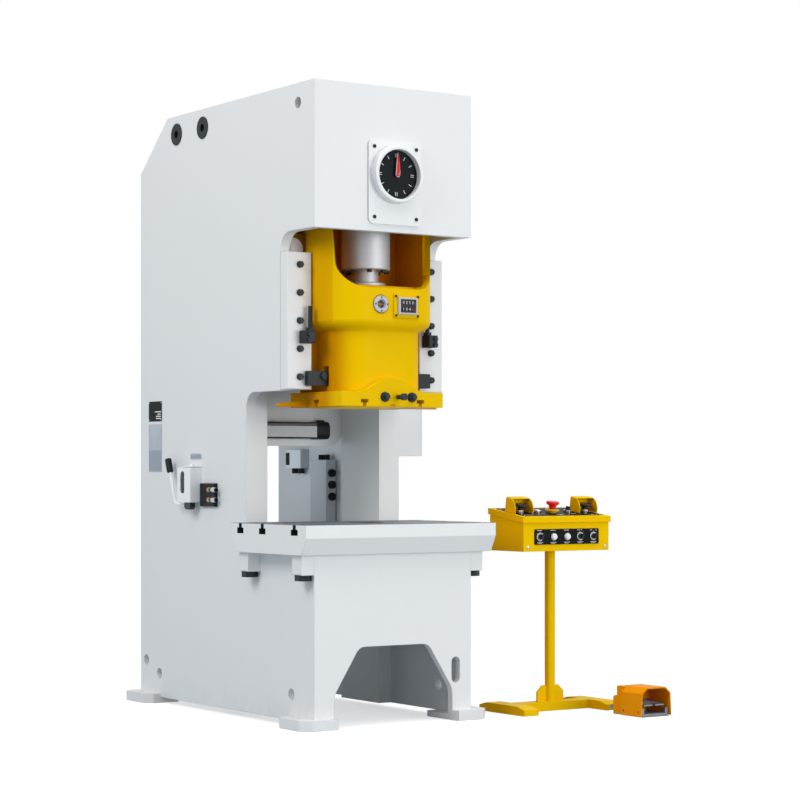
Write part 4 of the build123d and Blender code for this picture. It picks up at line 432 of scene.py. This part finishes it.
# a rectangle outline with quarter-circle corners
def roundLoop(wide, high, corner, steps=6):
    angle = (np.arange(4)[:, None] * 90 + np.linspace(0, 90, steps)[None, :]) * np.pi / 180
    way = np.array([(1, 1), (-1, 1), (-1, -1), (1, -1)], float)[:, None, :]
    middle = way * np.array([wide / 2 - corner, high / 2 - corner])
    return (middle + corner * np.stack([np.cos(angle), np.sin(angle)], axis=-1)).reshape(-1, 2)


# an outline carried up through (share of its size, height) levels, closed to its middle at both ends
def raised(loop, levels):
    loop = np.asarray(loop, float)
    share, height = np.asarray([(0.0, levels[0][1]), *levels, (0.0, levels[-1][1])], float).T
    flat = share[:, None, None] * loop[None]
    points = np.concatenate([flat, np.repeat(height[:, None], len(loop), axis=1)[..., None]], axis=-1)
    return points.reshape(-1, 3), gridFaces(len(share), len(loop))


# a plate: a rounded rectangle carried up, its upper edge eased by a small amount
def plate(wide, high, thick, corner, ease):
    share = 1 - 2 * ease / min(wide, high)
    return raised(roundLoop(wide, high, corner), [(1, 0), (1, thick - ease), (share, thick)])


# a screw thread: the radius swings with the height less the share of a turn, over one pitch
def thread(radius, depth, pitch, length, sides=28):
    rows = int(length / pitch * 6) + 1  # six rows to a pitch
    height = np.linspace(0, length, rows)[:, None]
    angle = np.linspace(0, 2 * np.pi, sides, endpoint=False)[None, :]
    swing = np.abs(((height / pitch - angle / (2 * np.pi)) % 1) * 2 - 1)
    fade = np.clip(np.minimum(height, length - height) / pitch, 0, 1)
    r = radius - depth * swing * fade
    points = np.stack([r * np.cos(angle), r * np.sin(angle), height + 0 * angle], axis=-1)
    ends = np.zeros((1, sides, 3))
    points = np.concatenate([ends, points, ends + (0, 0, length)])
    return points.reshape(-1, 3), gridFaces(rows + 2, sides)


# a socket-head screw: rim, chamfer and the sunk socket as one profile, turned
def socketScrew(radius, high):
    return turned([(0, -1), (radius, -1), (radius, high * 0.8), (radius * 0.9, high), (radius * 0.55, high),
                   (radius * 0.5, high * 0.35), (0, high * 0.35)], 24)


# a hexagon head: a hexagon carried up, a little smaller at its top
def hexHead(across, high):
    return raised(evenLoop(6, across), [(1, -0.5), (1, high * 0.82), (0.9, high)])


# a dome: a quarter of an ellipse from the rim to the middle, turned
def domed(radius, high):
    bend = np.linspace(0, np.pi / 2, 6)
    profile = [(0, -1), (radius, -1), *zip(radius * np.cos(bend), high * np.sin(bend))]
    return turned(profile[:-1] + [(0, high)], 24)


# a ring: a small rectangle with eased upper edges, turned at a distance from the axis
def ring(inner, outer, high, ease):
    return turned([(inner, -1), (outer, -1), (outer, high - ease), (outer - ease, high), (inner + ease, high),
                   (inner, high - ease), (inner, -1)], 40)


# numbers and short words as a flat mesh, from the built-in font, whose figures are 0.7 of its size
def figures(text, high, thick):
    curve = bpy.data.curves.new("figures", "FONT")
    curve.body = text
    curve.size = high / 0.7
    curve.extrude = thick / 2
    curve.align_x, curve.align_y = "CENTER", "CENTER"
    holder = bpy.data.objects.new("figures", curve)
    mesh = holder.to_mesh()
    points = np.empty(len(mesh.vertices) * 3)
    mesh.vertices.foreach_get("co", points)
    mesh.calc_loop_triangles()
    faces = np.empty(len(mesh.loop_triangles) * 3, dtype=np.int32)
    mesh.loop_triangles.foreach_get("vertices", faces)
    holder.to_mesh_clear()
    bpy.data.objects.remove(holder)
    bpy.data.curves.remove(curve)
    return points.reshape(-1, 3), faces.reshape(-1, 3)


# the console's lid rises from its front edge to the back
lidBox, lidRise = boxOf("console_lid"), 33
lidDeep = lidBox.back - lidBox.front
lidLong = math.hypot(lidDeep, lidRise)
lidLevel, lidClimb = lidDeep / lidLong, lidRise / lidLong


# a place on the lid: across from its middle, behind its front edge, and a little above it
def onLid(across, behind, lift):
    z = lidBox.top - lidRise + behind * lidRise / lidDeep
    return (lidBox.x + across, lidBox.front + behind - lidClimb * lift, z + lidLevel * lift)


facing = {  # where a shape's own right, up and outward go
    "front": ((1, 0, 0), (0, 0, 1), (0, -1, 0)),
    "back": ((-1, 0, 0), (0, 0, 1), (0, 1, 0)),
    "left": ((0, -1, 0), (0, 0, 1), (-1, 0, 0)),
    "right": ((0, 1, 0), (0, 0, 1), (1, 0, 0)),
    "up": ((1, 0, 0), (0, 1, 0), (0, 0, 1)),
    "down": ((1, 0, 0), (0, -1, 0), (0, 0, -1)),
    "lid": ((1, 0, 0), (0, lidLevel, lidClimb), (0, -lidClimb, lidLevel)),
}


# a shape moved aside and up in its own plane
def moved(shape, aside, up):
    points, faces = shape
    return points + np.array([aside, up, 0]), faces


# a shape turned in its own plane, then set at a place facing one way
def put(shape, place, way, turn=0.0):
    points, faces = shape
    c, s = math.cos(math.radians(turn)), math.sin(math.radians(turn))
    spun = points @ np.array([[c, s, 0], [-s, c, 0], [0, 0, 1]])
    return spun @ np.array(facing[way], float) + np.array(place, float), faces


# the four corners of a rectangle about its middle
def corners(wide, high):
    return [(i * wide / 2, k * high / 2) for i in (-1, 1) for k in (-1, 1)]


# closes seams and poles, drops what has no area
def joinDoubles(mesh):
    work = bmesh.new()
    work.from_mesh(mesh)
    bmesh.ops.remove_doubles(work, verts=work.verts, dist=1e-6)
    bmesh.ops.dissolve_degenerate(work, edges=work.edges, dist=1e-7)
    work.to_mesh(mesh)
    work.free()


# shapes joined into one piece in metres, smooth up to a sharp angle, riding on a body
def makePiece(name, shapes, finish, body, sharp=32):
    points, faces, start = [], [], 0
    for shapePoints, shapeFaces in shapes:
        points.append(shapePoints)
        faces += (shapeFaces + start).tolist()
        start += len(shapePoints)
    mesh = bpy.data.meshes.new(name)
    mesh.from_pydata((np.concatenate(points) * 0.001).tolist(), [], faces)
    joinDoubles(mesh)
    mesh.shade_smooth()
    mesh.set_sharp_from_angle(angle=math.radians(sharp))
    mesh.materials.append(finishes[finish])
    piece = bpy.data.objects.new(name, mesh)
    bpy.context.scene.collection.objects.link(piece)
    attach(piece, body)


# one shape at several places, as one piece
def makeRow(name, shape, places, way, finish, body):
    makePiece(name, [put(shape, place, way) for place in places], finish, body)


# In what follows a plate is (wide, high, thick, corner, ease), a ring (inner, outer, high, ease), a round screw or
# dome (radius, high), a hexagon head (across, high), and a turned part has its (radius, height) profile

# Dial: white strokes, two at each quarter, a white edge round the pointer, a black hub, four black screws
dialBox, housingBox, pointerBox = (boxOf(name) for name in ("dial_face", "dial_housing", "dial_pointer"))
dialLook = dict(inner=66, outer=81, wide=2.3, thick=0.5, corner=0.4, ease=0.2, apart=7.4, quarters=(0, 3, 6, 9))
stroke = plate(dialLook["wide"], dialLook["outer"] - dialLook["inner"], dialLook["thick"], dialLook["corner"],
               dialLook["ease"])
strokeShapes = []
for hour in range(12):
    for share in ((-0.5, 0.5) if hour in dialLook["quarters"] else (0,)):
        shape = moved(stroke, share * dialLook["apart"], (dialLook["inner"] + dialLook["outer"]) / 2)
        strokeShapes.append(put(shape, (0, dialBox.front, dialBox.z), "front", -30 * hour))
makePiece("dial_marks", strokeShapes, "button_white", "frame")

pointerLook = dict(thick=2.0, sunk=0.4, hub=10.4, waist=5.4, waistAt=59, tip=84.5, cap=(4.6, 2.4))
bend = np.linspace(0, -np.pi, 13)
hubLoop = pointerLook["hub"] * np.stack([np.cos(bend), np.sin(bend)], axis=-1)
tipLoop = [(-pointerLook["waist"], pointerLook["waistAt"]), (0, pointerLook["tip"]),
           (pointerLook["waist"], pointerLook["waistAt"])]
edgeLoop = np.concatenate([hubLoop, tipLoop])[::-1]
edgeBack = pointerBox.back + pointerLook["thick"] - pointerLook["sunk"]
makeRow("pointer_edge", raised(edgeLoop, [(1, 0), (1, pointerLook["thick"])]), [(0, edgeBack, dialBox.z)],
        "front", "button_white", "crank")
makeRow("pointer_hub", domed(*pointerLook["cap"]), [(0, pointerBox.front, dialBox.z)],
        "front", "dial_black", "crank")

plateScrews = dict(insetX=25, insetZ=26, screw=(7.2, 4.0))
screwXs = (housingBox.left + plateScrews["insetX"], housingBox.right - plateScrews["insetX"])
screwZs = (housingBox.top - plateScrews["insetZ"], housingBox.bottom + plateScrews["insetZ"])
makeRow("dial_screws", socketScrew(*plateScrews["screw"]), [(x, dialBox.back, z) for x in screwXs for z in screwZs],
        "front", "black_steel", "frame")

# Counter on the ram: corner screws, a dark window with a bar, two rows of number wheels, the last one red
counterBox = boxOf("height_counter")
counterLook = dict(screwWide=101, screwHigh=74, screw=(5.2, 3.0), pane=(72, 52, 0.8, 2, 0.2),
                   bar=(72, 3.6, 4.4, 0.6, 0.4), wheel=10.5, wheelWide=12.4, wheelEase=0.5, wheelIn=7.0, pitch=14.2,
                   rows=((12.5, "0250"), (-12.5, "1046")), digitHigh=11.0, digitThick=0.5)
makeRow("counter_screws", socketScrew(*counterLook["screw"]),
        [(counterBox.x + across, counterBox.back, counterBox.z + up)
         for across, up in corners(counterLook["screwWide"], counterLook["screwHigh"])],
        "front", "black_steel", "ram")
middle = (counterBox.x, counterBox.y, counterBox.z)
windowShapes = [put(plate(*counterLook[part]), middle, "front") for part in ("pane", "bar")]
digitShapes, redShapes = [], []
rim, half, ease = counterLook["wheel"], counterLook["wheelWide"] / 2, counterLook["wheelEase"]
wheel = turned([(0, -half), (rim - ease, -half), (rim, ease - half), (rim, half - ease), (rim - ease, half),
                (0, half)])
wheelY = counterBox.y + counterLook["wheelIn"]
for lift, text in counterLook["rows"]:
    for index, digit in enumerate(text):
        x = counterBox.x + (index - (len(text) - 1) / 2) * counterLook["pitch"]
        z = counterBox.z + lift
        windowShapes.append(put(wheel, (x, wheelY, z), "right"))
        digitShape = put(figures(digit, counterLook["digitHigh"], counterLook["digitThick"]),
                         (x, wheelY - rim, z), "front")
        (redShapes if lift < 0 and index == len(text) - 1 else digitShapes).append(digitShape)
makePiece("counter_wheels", windowShapes, "knob_black", "ram")
makePiece("counter_digits", digitShapes, "button_white", "ram")
makePiece("counter_red", redShapes, "pointer_red", "ram")

# Sight port: a dark domed glass with a line across, an inner ring, four screws in the outer ring
portBox = boxOf("sight_ring")
portLook = dict(sunk=8.5, glass=((0, -1), (18.7, -1), (18.7, 1.5), (13, 2.7), (6, 3.3), (0, 3.5)),
                line=(34, 2.6, 3.9, 0.5, 0.3), inner=(13.2, 15.0, 3.3, 0.3), screwAt=26.5, screw=(3.2, 1.2))
middle = (portBox.x, portBox.front + portLook["sunk"], portBox.z)
makeRow("port_glass", turned(portLook["glass"]), [middle], "front", "sight_dark", "ram")
makeRow("port_line", plate(*portLook["line"]), [middle], "front", "line_orange", "ram")
portShapes = [put(ring(*portLook["inner"]), middle, "front")]
for step in range(4):
    angle = math.pi / 2 * step
    spot = (portBox.x + portLook["screwAt"] * math.cos(angle), portBox.front,
            portBox.z + portLook["screwAt"] * math.sin(angle))
    portShapes.append(put(socketScrew(*portLook["screw"]), spot, "front"))
makePiece("port_screws", portShapes, "black_steel", "ram")

# Ring of black bolts under the connecting rod
rodBox = boxOf("connecting_rod")
rodBolts = dict(count=8, at=83, across=19, high=11)
boltShapes = []
for step in range(rodBolts["count"]):
    angle = 2 * math.pi * (step + 0.5) / rodBolts["count"]
    spot = (rodBolts["at"] * math.sin(angle), rodBox.y + rodBolts["at"] * math.cos(angle), rodBox.bottom)
    boltShapes.append(put(hexHead(rodBolts["across"], rodBolts["high"]), spot, "down", math.degrees(angle)))
makePiece("rod_bolts", boltShapes, "black_steel", "ram")

# Threads and washers of the clamp studs, threads of the knock-out screws
studBox = boxOf("clamp_studs")
studLook = dict(aside=62, nut=13, thread=dict(radius=10.4, depth=1.1, pitch=2.6, length=10.8),
                washer=((0, -1), (19.5, -1), (19.5, 2.0), (18.6, 3.0), (0, 3.0)))
studShapes = []
for x in (studBox.x - studLook["aside"], studBox.x + studLook["aside"]):
    studShapes.append(put(thread(**studLook["thread"]), (x, studBox.back - studLook["nut"], studBox.z), "front"))
    studShapes.append(put(turned(studLook["washer"]), (x, studBox.back, studBox.z), "front"))
makePiece("stud_threads", studShapes, "black_steel", "ram")

stopBox = boxOf("knockout_stops")
stopLook = dict(inset=34, ahead=24, below=81, thread=dict(radius=8.9, depth=1.1, pitch=3.6, length=80))
makeRow("stop_threads", thread(**stopLook["thread"]),
        [(x, stopBox.back - stopLook["ahead"], stopBox.top - stopLook["below"])
         for x in (stopBox.left + stopLook["inset"], stopBox.right - stopLook["inset"])],
        "up", "black_steel", "frame")
print("press: head and ram pieces made")

# Bare plates riveted to the left side; fields are (towards the front, up, wide, high)
sidePlates = {
    "plate_black": dict(y=570.5, z=1222, wide=117, high=84, finish="dial_black", field="button_white",
                        fields=((26, -2, 54, 5), (36, -12, 28, 4.6), (30, -21, 44, 4.6), (30, -30, 44, 4.6))),
    "plate_grey": dict(y=570.5, z=1068, wide=117, high=200, finish="plate_silver", field="plate_slate",
                       fields=((0, -52, 108, 84),)),
    "plate_small": dict(y=215, z=1031, wide=94, high=24, finish="plate_silver", field="plate_slate",
                        fields=((0, 0, 84, 16),)),
}
tagLook = dict(wall=boxOf("side_plate_left").left, thick=1.5, corner=3, ease=0.4, fieldThick=0.5,
               fieldCorner=1.0, fieldEase=0.2, inset=6, rivet=(2.6, 1.6))
rivetShapes = []
for plateName, look in sidePlates.items():
    middle = np.array([tagLook["wall"], look["y"], look["z"]], float)
    tag = plate(look["wide"], look["high"], tagLook["thick"], tagLook["corner"], tagLook["ease"])
    makeRow(plateName, tag, [middle], "left", look["finish"], "frame")
    blank = []
    for ahead, up, wide, high in look["fields"]:
        field = plate(wide, high, tagLook["fieldThick"], tagLook["fieldCorner"], tagLook["fieldEase"])
        blank.append(put(field, middle + (-tagLook["thick"], -ahead, up), "left"))
    makePiece(plateName + "_fields", blank, look["field"], "frame")
    for across, up in corners(look["wide"] - 2 * tagLook["inset"], look["high"] - 2 * tagLook["inset"]):
        rivetShapes.append(put(domed(*tagLook["rivet"]), middle + (-tagLook["thick"], across, up), "left"))
makePiece("plate_rivets", rivetShapes, "bush_bright", "frame")

# Hand lubricator: lid on a dark seam, filler cap, sight glass, bronze and bright fittings
tankBox, oilBox = boxOf("oil_tank"), boxOf("oil_manifold")
tankLook = dict(lidBehind=29, seam=(57.6, 54, 1.4, 6, 0.1), lid=(59.6, 56, 4.2, 7, 1.0), lidLift=1.2,
                cap=((0, -1), (10, -1), (10, 4), (9, 5.5), (5, 6), (4.4, 9), (3.4, 10), (0, 10)), capLift=5.4,
                sight=(32.0, 90.0, 1.0, 15.9, 0.3), sightSunk=0.8, sightBehind=57, sightBelow=60.5)
seamAt, lidAt, capAt = [(tankBox.x, tankBox.front + tankLook["lidBehind"], tankBox.top + lift)
                        for lift in (0, tankLook["lidLift"], tankLook["capLift"])]
sightAt = (tankBox.left + tankLook["sightSunk"], tankBox.front + tankLook["sightBehind"],
           tankBox.top - tankLook["sightBelow"])
makeRow("tank_seam", plate(*tankLook["seam"]), [seamAt], "up", "black_plastic", "frame")
makePiece("tank_lid", [put(plate(*tankLook["lid"]), lidAt, "up"), put(turned(tankLook["cap"], 32), capAt, "up")],
          "tank_paint", "frame")
makeRow("tank_sight", plate(*tankLook["sight"]), [sightAt], "left", "sight_dark", "frame")

fitLook = dict(out=23, ups=(68, 28), collar=((0, -1), (9.8, -1), (9.8, 13), (9.2, 14), (0, 14)), collarBehind=61,
               nut=19.5, nutLevels=((0.9, 0), (1, 1.2), (1, 8.8), (0.9, 10)), nutBehind=32,
               tube=(4.7, 9.8, 22, 1.0), tubeBehind=22.4)


# a place on one of the two oil lines: behind the front end of the fittings, and up
def onLine(behind, up):
    return (oilBox.right - fitLook["out"], oilBox.front + behind, oilBox.bottom + up)


makeRow("fitting_collars", turned(fitLook["collar"], 32),
        [onLine(fitLook["collarBehind"], up) for up in fitLook["ups"]],
        "front", "bush_bronze", "frame")
nutShape = raised(evenLoop(6, fitLook["nut"]), fitLook["nutLevels"])
nutShapes = []
for up in fitLook["ups"]:
    nutShapes.append(put(nutShape, onLine(fitLook["nutBehind"], up), "front"))
    nutShapes.append(put(ring(*fitLook["tube"]), onLine(fitLook["tubeBehind"], up), "front"))
makePiece("fitting_nuts", nutShapes, "bush_bright", "frame")

blockLook = dict(thick=14, aheads=(114, 14), inset=10, screw=(4.2, 2.6))
makeRow("distributor_screws", socketScrew(*blockLook["screw"]),
        [(oilBox.right - blockLook["thick"], oilBox.back - ahead, z) for ahead in blockLook["aheads"]
         for z in (oilBox.bottom + blockLook["inset"], oilBox.top - blockLook["inset"])],
        "left", "black_steel", "frame")
print("press: left side pieces made")

# Boxes on the right wall: sensor window, painted shadow in the gap beside the junction box, plug slots
sensorBox, junctionBox = boxOf("sensor_box"), boxOf("junction_box")
wallBoxes = dict(window=(33.6, 53.6, 1.2, 1.0, 0.2), windowSunk=3, windowAhead=21, gapShadowWide=2.6, gapShadowShort=2,
                 seam=(0.6, 0.3, 0.1), gapShadowInset=3.4, plugsBelow=(56, 106, 156), plugRim=(10.0, 13.0, 1.6, 0.5),
                 plugSlot=(15, 3.4, 1.4, 0.6, 0.3), plugTurn=20)
windowAt = (sensorBox.left + wallBoxes["windowSunk"], sensorBox.back - wallBoxes["windowAhead"], sensorBox.z)
makeRow("sensor_window", plate(*wallBoxes["window"]), [windowAt], "left", "dial_black", "frame")
# painted shadow: a thin dark strip for the gap between the junction box and the wall
gapShadowHigh = junctionBox.top - junctionBox.bottom - wallBoxes["gapShadowShort"]
makeRow("junction_gap_shadow", plate(wallBoxes["gapShadowWide"], gapShadowHigh, *wallBoxes["seam"]),
        [(junctionBox.right - wallBoxes["gapShadowInset"], junctionBox.front, junctionBox.z)],
        "front", "black_plastic", "frame")
plugShapes = []
for below in wallBoxes["plugsBelow"]:
    spot = (junctionBox.x, boxOf("cable_glands").front, junctionBox.top - below)
    plugShapes.append(put(ring(*wallBoxes["plugRim"]), spot, "front"))
    plugShapes.append(put(plate(*wallBoxes["plugSlot"]), spot, "front", wallBoxes["plugTurn"]))
makePiece("plug_slots", plugShapes, "knob_black", "frame")

# Locating pin on the right side, under the cabinet
cabinetBox, doorBox = boxOf("cabinet"), boxOf("cabinet_door")
pinLook = dict(ahead=85, below=31, profile=((0, -1), (5, -1), (5, 14), (4.2, 15), (0, 15)))
makeRow("side_pin", turned(pinLook["profile"], 24),
        [(cabinetBox.left, cabinetBox.front - pinLook["ahead"], cabinetBox.bottom - pinLook["below"])],
        "right", "bush_bright", "frame")

# Cabinet: louvres and a lock on the door
doorLook = dict(leaf=11.5, wide=330, high=12, corner=5, levels=((1, -0.5), (0.985, 2.4), (0.95, 4.0)),
                behind=300, ups=(156, 606), count=6, pitch=22, lockSunk=0.5, lockBehind=40,
                lockFace=((0, -1), (11, -1), (11, 1.4), (10.2, 2.2), (0, 2.2)), lockSlot=(3, 12, 3.0, 0.5, 0.3))
louvre = raised(roundLoop(doorLook["wide"], doorLook["high"], doorLook["corner"]), doorLook["levels"])
makeRow("door_louvres", louvre,
        [(doorBox.left + doorLook["leaf"], doorBox.front + doorLook["behind"],
          doorBox.bottom + up + (step - (doorLook["count"] - 1) / 2) * doorLook["pitch"])
         for up in doorLook["ups"] for step in range(doorLook["count"])],
        "right", "cabinet_paint", "door")
lockAt = (doorBox.right - doorLook["lockSunk"], doorBox.front + doorLook["lockBehind"], doorBox.z)
makePiece("door_lock", [put(turned(doorLook["lockFace"], 32), lockAt, "right"),
                        put(plate(*doorLook["lockSlot"]), lockAt, "right", 90)],
          "black_plastic", "door")

# Rear cover screws, none in the middle of its face
coverBox = boxOf("rear_cover")
coverLook = dict(inset=24, ups=(30, 370, 720, 1060), middleUps=(30, 1060), screw=(16, 6), turn=15)
coverColumns = ((coverBox.left + coverLook["inset"], coverLook["ups"]), (coverBox.x, coverLook["middleUps"]),
                (coverBox.right - coverLook["inset"], coverLook["ups"]))
coverShapes = [put(hexHead(*coverLook["screw"]), (x, coverBox.back, coverBox.bottom + up), "back", coverLook["turn"])
               for x, ups in coverColumns for up in ups]
makePiece("cover_screws", coverShapes, "black_steel", "frame")
print("press: right side and rear pieces made")

# Control stand: front screws, white rules and ticks round the controls, words at the last switch
consoleBox, panelBox = boxOf("console_box"), boxOf("console_panels")
switchBox, lastBox = boxOf("selector_middle"), boxOf("selector_right")
standLook = dict(screwInsets=(23, 20), screwUp=18, screw=(7.2, 5.0), pitch=lastBox.x - switchBox.x,
                 steps=(-2, -1, 0, 1, 2), turns=(-2, 1, 2), rim=(15.0, 16.6, 0.9, 0.3),
                 rules=((-3, 25.5, 26), (0, -22.5, 30), (-2, -26.5, 20)), rule=(1.7, 0.3, 0.3, 0.1),
                 tick=(1.5, 4.2, 0.3, 0.3, 0.1), tickAt=18.4, tickTurns=(-45, 0, 45),
                 words=(("OFF", -13), ("ON", 13)), wordUp=24.5, wordHigh=4.6, wordThick=0.4)


# a place on the front panel: the control counted from the middle, then across and up from it
def onPanel(step, across=0, up=0):
    x = consoleBox.x + step * standLook["pitch"]
    return (x + across, panelBox.front, switchBox.z + up)


screwXs = (consoleBox.left + standLook["screwInsets"][0], consoleBox.right - standLook["screwInsets"][1])
makeRow("stand_screws", domed(*standLook["screw"]),
        [(x, consoleBox.front, consoleBox.bottom + standLook["screwUp"]) for x in screwXs],
        "front", "bush_bright", "frame")
lastStep = standLook["steps"][-1]
ruleShapes = []
for step in standLook["steps"]:
    for across, up, wide in standLook["rules"]:
        if step != lastStep or up < 0:
            ruleShapes.append(put(plate(wide, *standLook["rule"]), onPanel(step, across, up), "front"))
    if step in standLook["turns"]:
        tick = moved(plate(*standLook["tick"]), 0, standLook["tickAt"])
        ruleShapes += [put(tick, onPanel(step), "front", turn) for turn in standLook["tickTurns"]]
for word, across in standLook["words"]:
    ruleShapes.append(put(figures(word, standLook["wordHigh"], standLook["wordThick"]),
                          onPanel(lastStep, across, standLook["wordUp"]), "front"))
makeRow("switch_rings", ring(*standLook["rim"]), [onPanel(step) for step in standLook["turns"]],
        "front", "bush_bright", "frame")
makePiece("panel_marks", ruleShapes, "button_white", "frame")

# Lid of the console: white rules as (across, behind the front edge, wide), four screws
lidLook = dict(top=2.0, rules=((-164, 39, 44), (-78, 61, 24), (-3, 45, 40), (78, 61, 24), (164, 39, 44),
                               (-164, 33, 30), (-3, 39, 26), (164, 33, 30)), rule=(2.0, 0.3, 0.3, 0.1),
               screwAcross=(-192, 192), screwBehind=(31, 193), screw=(4.0, 2.0))
makePiece("lid_marks", [put(plate(wide, *lidLook["rule"]), onLid(across, behind, lidLook["top"]), "lid")
                        for across, behind, wide in lidLook["rules"]], "button_white", "frame")
makeRow("lid_screws", domed(*lidLook["screw"]),
        [onLid(across, behind, lidLook["top"]) for across in lidLook["screwAcross"]
         for behind in lidLook["screwBehind"]],
        "lid", "bush_bright", "frame")

# Foot switch: cross ribs on the pedal, screws in the hood
pedalBox, hoodBox = boxOf("pedal"), boxOf("pedal_hood")
pedalLook = dict(deep=100, frontUp=6, hingeUp=13, ribs=6, first=2.2, spare=2, sunk=0.4,
                 rib=(96, 4.0, 1.8, 1.2, 0.6))
ribSpots = []
for step in range(pedalLook["ribs"]):
    share = (step + pedalLook["first"]) / (pedalLook["ribs"] + pedalLook["spare"])
    up = pedalLook["frontUp"] + share * (pedalLook["hingeUp"] - pedalLook["frontUp"])
    ribSpots.append((pedalBox.x, pedalBox.front + share * pedalLook["deep"], pedalBox.bottom + up - pedalLook["sunk"]))
makeRow("pedal_ribs", plate(*pedalLook["rib"]), ribSpots, "up", "pedal_metal", "treadle")
hoodLook = dict(sunk=2.3, behind=(17, 109), up=17, screw=(4.0, 2.2))
hoodScrews = [put(socketScrew(*hoodLook["screw"]), (x, hoodBox.front + behind, hoodBox.bottom + hoodLook["up"]), way)
              for x, way in ((hoodBox.left + hoodLook["sunk"], "left"), (hoodBox.right - hoodLook["sunk"], "right"))
              for behind in hoodLook["behind"]]
makePiece("hood_screws", hoodScrews, "black_steel", "frame")
print("press: stand and foot switch pieces made")


# Floor, light and camera

# the floor throws a cool grey on the press, and is pale near it and white further off for the camera
floorLook = dict(reach=30.0, near=1.6, far=4.2, colour=rgba(0.36, 0.41, 0.44), seen=rgba(0.70, 0.70, 0.705), lift=0.55)
plainWhite = rgba(1, 1, 1)
reach = floorLook["reach"]
floorMesh = bpy.data.meshes.new("floor")
floorMesh.from_pydata([(-reach, -reach, 0), (reach, -reach, 0), (reach, reach, 0), (-reach, reach, 0)], [],
                      [(0, 1, 2, 3)])
floor = bpy.data.objects.new("floor", floorMesh)
bpy.context.scene.collection.objects.link(floor)
place = newFinish("floor_white")
away = place.add("ShaderNodeVectorMath", {"operation": "LENGTH"}, {0: place}, out="Value")
seen = place.rays("Is Camera Ray", "Is Glossy Ray")
matt = place.add("ShaderNodeBsdfDiffuse", None, {"Color": floorLook["colour"]})
bright = place.add("ShaderNodeBsdfDiffuse", None, {"Color": floorLook["seen"]})
lift = place.add("ShaderNodeEmission", None, {"Color": plainWhite, "Strength": floorLook["lift"]})
near = place.add("ShaderNodeAddShader", None, {0: bright, 1: lift})
white = place.add("ShaderNodeEmission", None, {"Color": plainWhite, "Strength": 1.0})
pale = place.add("ShaderNodeMixShader", None, {0: away.ramp(floorLook["near"], floorLook["far"]), 1: near, 2: white})
place.add("ShaderNodeOutputMaterial", None,
          {"Surface": place.add("ShaderNodeMixShader", None, {0: seen, 1: matt, 2: pale})})
floorMesh.materials.append(finishes["floor_white"])

# the sky lights softly and looks white
skyLook = dict(level=0.52, colour=rgba(0.86, 0.935, 1.0))
world = bpy.data.worlds.new("studio")
world.use_nodes = True
world.node_tree.nodes.clear()
bpy.context.scene.world = world
wire = Wire(world.node_tree)
clear = wire.rays("Is Camera Ray", "Is Glossy Ray", "Is Transmission Ray")
soft = wire.add("ShaderNodeBackground", None, {"Color": skyLook["colour"], "Strength": skyLook["level"]})
plain = wire.add("ShaderNodeBackground", None, {"Color": plainWhite, "Strength": 1.0})
wire.add("ShaderNodeOutputWorld", None,
         {"Surface": wire.add("ShaderNodeMixShader", None, {0: clear, 1: soft, 2: plain})})

# three large warm lamps, and two small cool ones inside the frame that stay out of reflections
warmLight, coolLight = (1.0, 0.975, 0.945), (0.80, 0.92, 1.0)
lampLooks = {
    "lamp_top": dict(place=(1.3, -2.7, 8.5), aim=(0.4, -0.5, 0.6), size=7.6, power=314, colour=warmLight),
    "lamp_front": dict(place=(2.4, -7.6, 1.4), aim=(0.1, -0.2, 1.0), size=4.2, power=244, colour=warmLight),
    "lamp_left": dict(place=(-5.7, -1.2, 5.1), aim=(-0.3, 0.0, 1.7), size=4.0, power=222, colour=warmLight),
    "lamp_back": dict(place=(-0.12, 0.42, 1.02), aim=(0.4, 0.48, 1.00), size=0.25, power=0.5, colour=coolLight),
    "lamp_throat": dict(place=(-0.22, -0.56, 0.94), aim=(0.40, -0.50, 0.96), size=0.20, power=0.75,
                        colour=coolLight),
}
for lampName, look in lampLooks.items():
    light = bpy.data.lights.new(lampName, "AREA")
    light.shape = "DISK"
    light.size = look["size"]
    light.energy = look["power"]
    light.color = look["colour"]
    lamp = bpy.data.objects.new(lampName, light)
    spot, aim = np.array(look["place"]), np.array(look["aim"])
    way = (aim - spot) / np.linalg.norm(aim - spot)
    lamp.location = spot
    lamp.rotation_euler = (math.acos(-way[2]), 0, math.atan2(way[1], way[0]) - math.pi / 2)
    lamp.visible_camera = False
    lamp.visible_glossy = look["size"] > 1  # not the two small ones
    bpy.context.scene.collection.objects.link(lamp)

cameraLook = dict(place=(-4.7883, -7.8888, 0.9710), turn=-33.819, sensor=36.0, lens=101.49, rise=0.0889)
cameraData = bpy.data.cameras.new("camera")
cameraData.sensor_width = cameraLook["sensor"]
cameraData.lens = cameraLook["lens"]
cameraData.shift_y = cameraLook["rise"]
camera = bpy.data.objects.new("camera", cameraData)
camera.location = cameraLook["place"]
camera.rotation_euler = (math.pi / 2, 0, math.radians(cameraLook["turn"]))
bpy.context.scene.collection.objects.link(camera)
bpy.context.scene.camera = camera
bpy.context.scene.view_settings.view_transform = "Standard"
print("press: floor, light and camera set")

print("press: done")
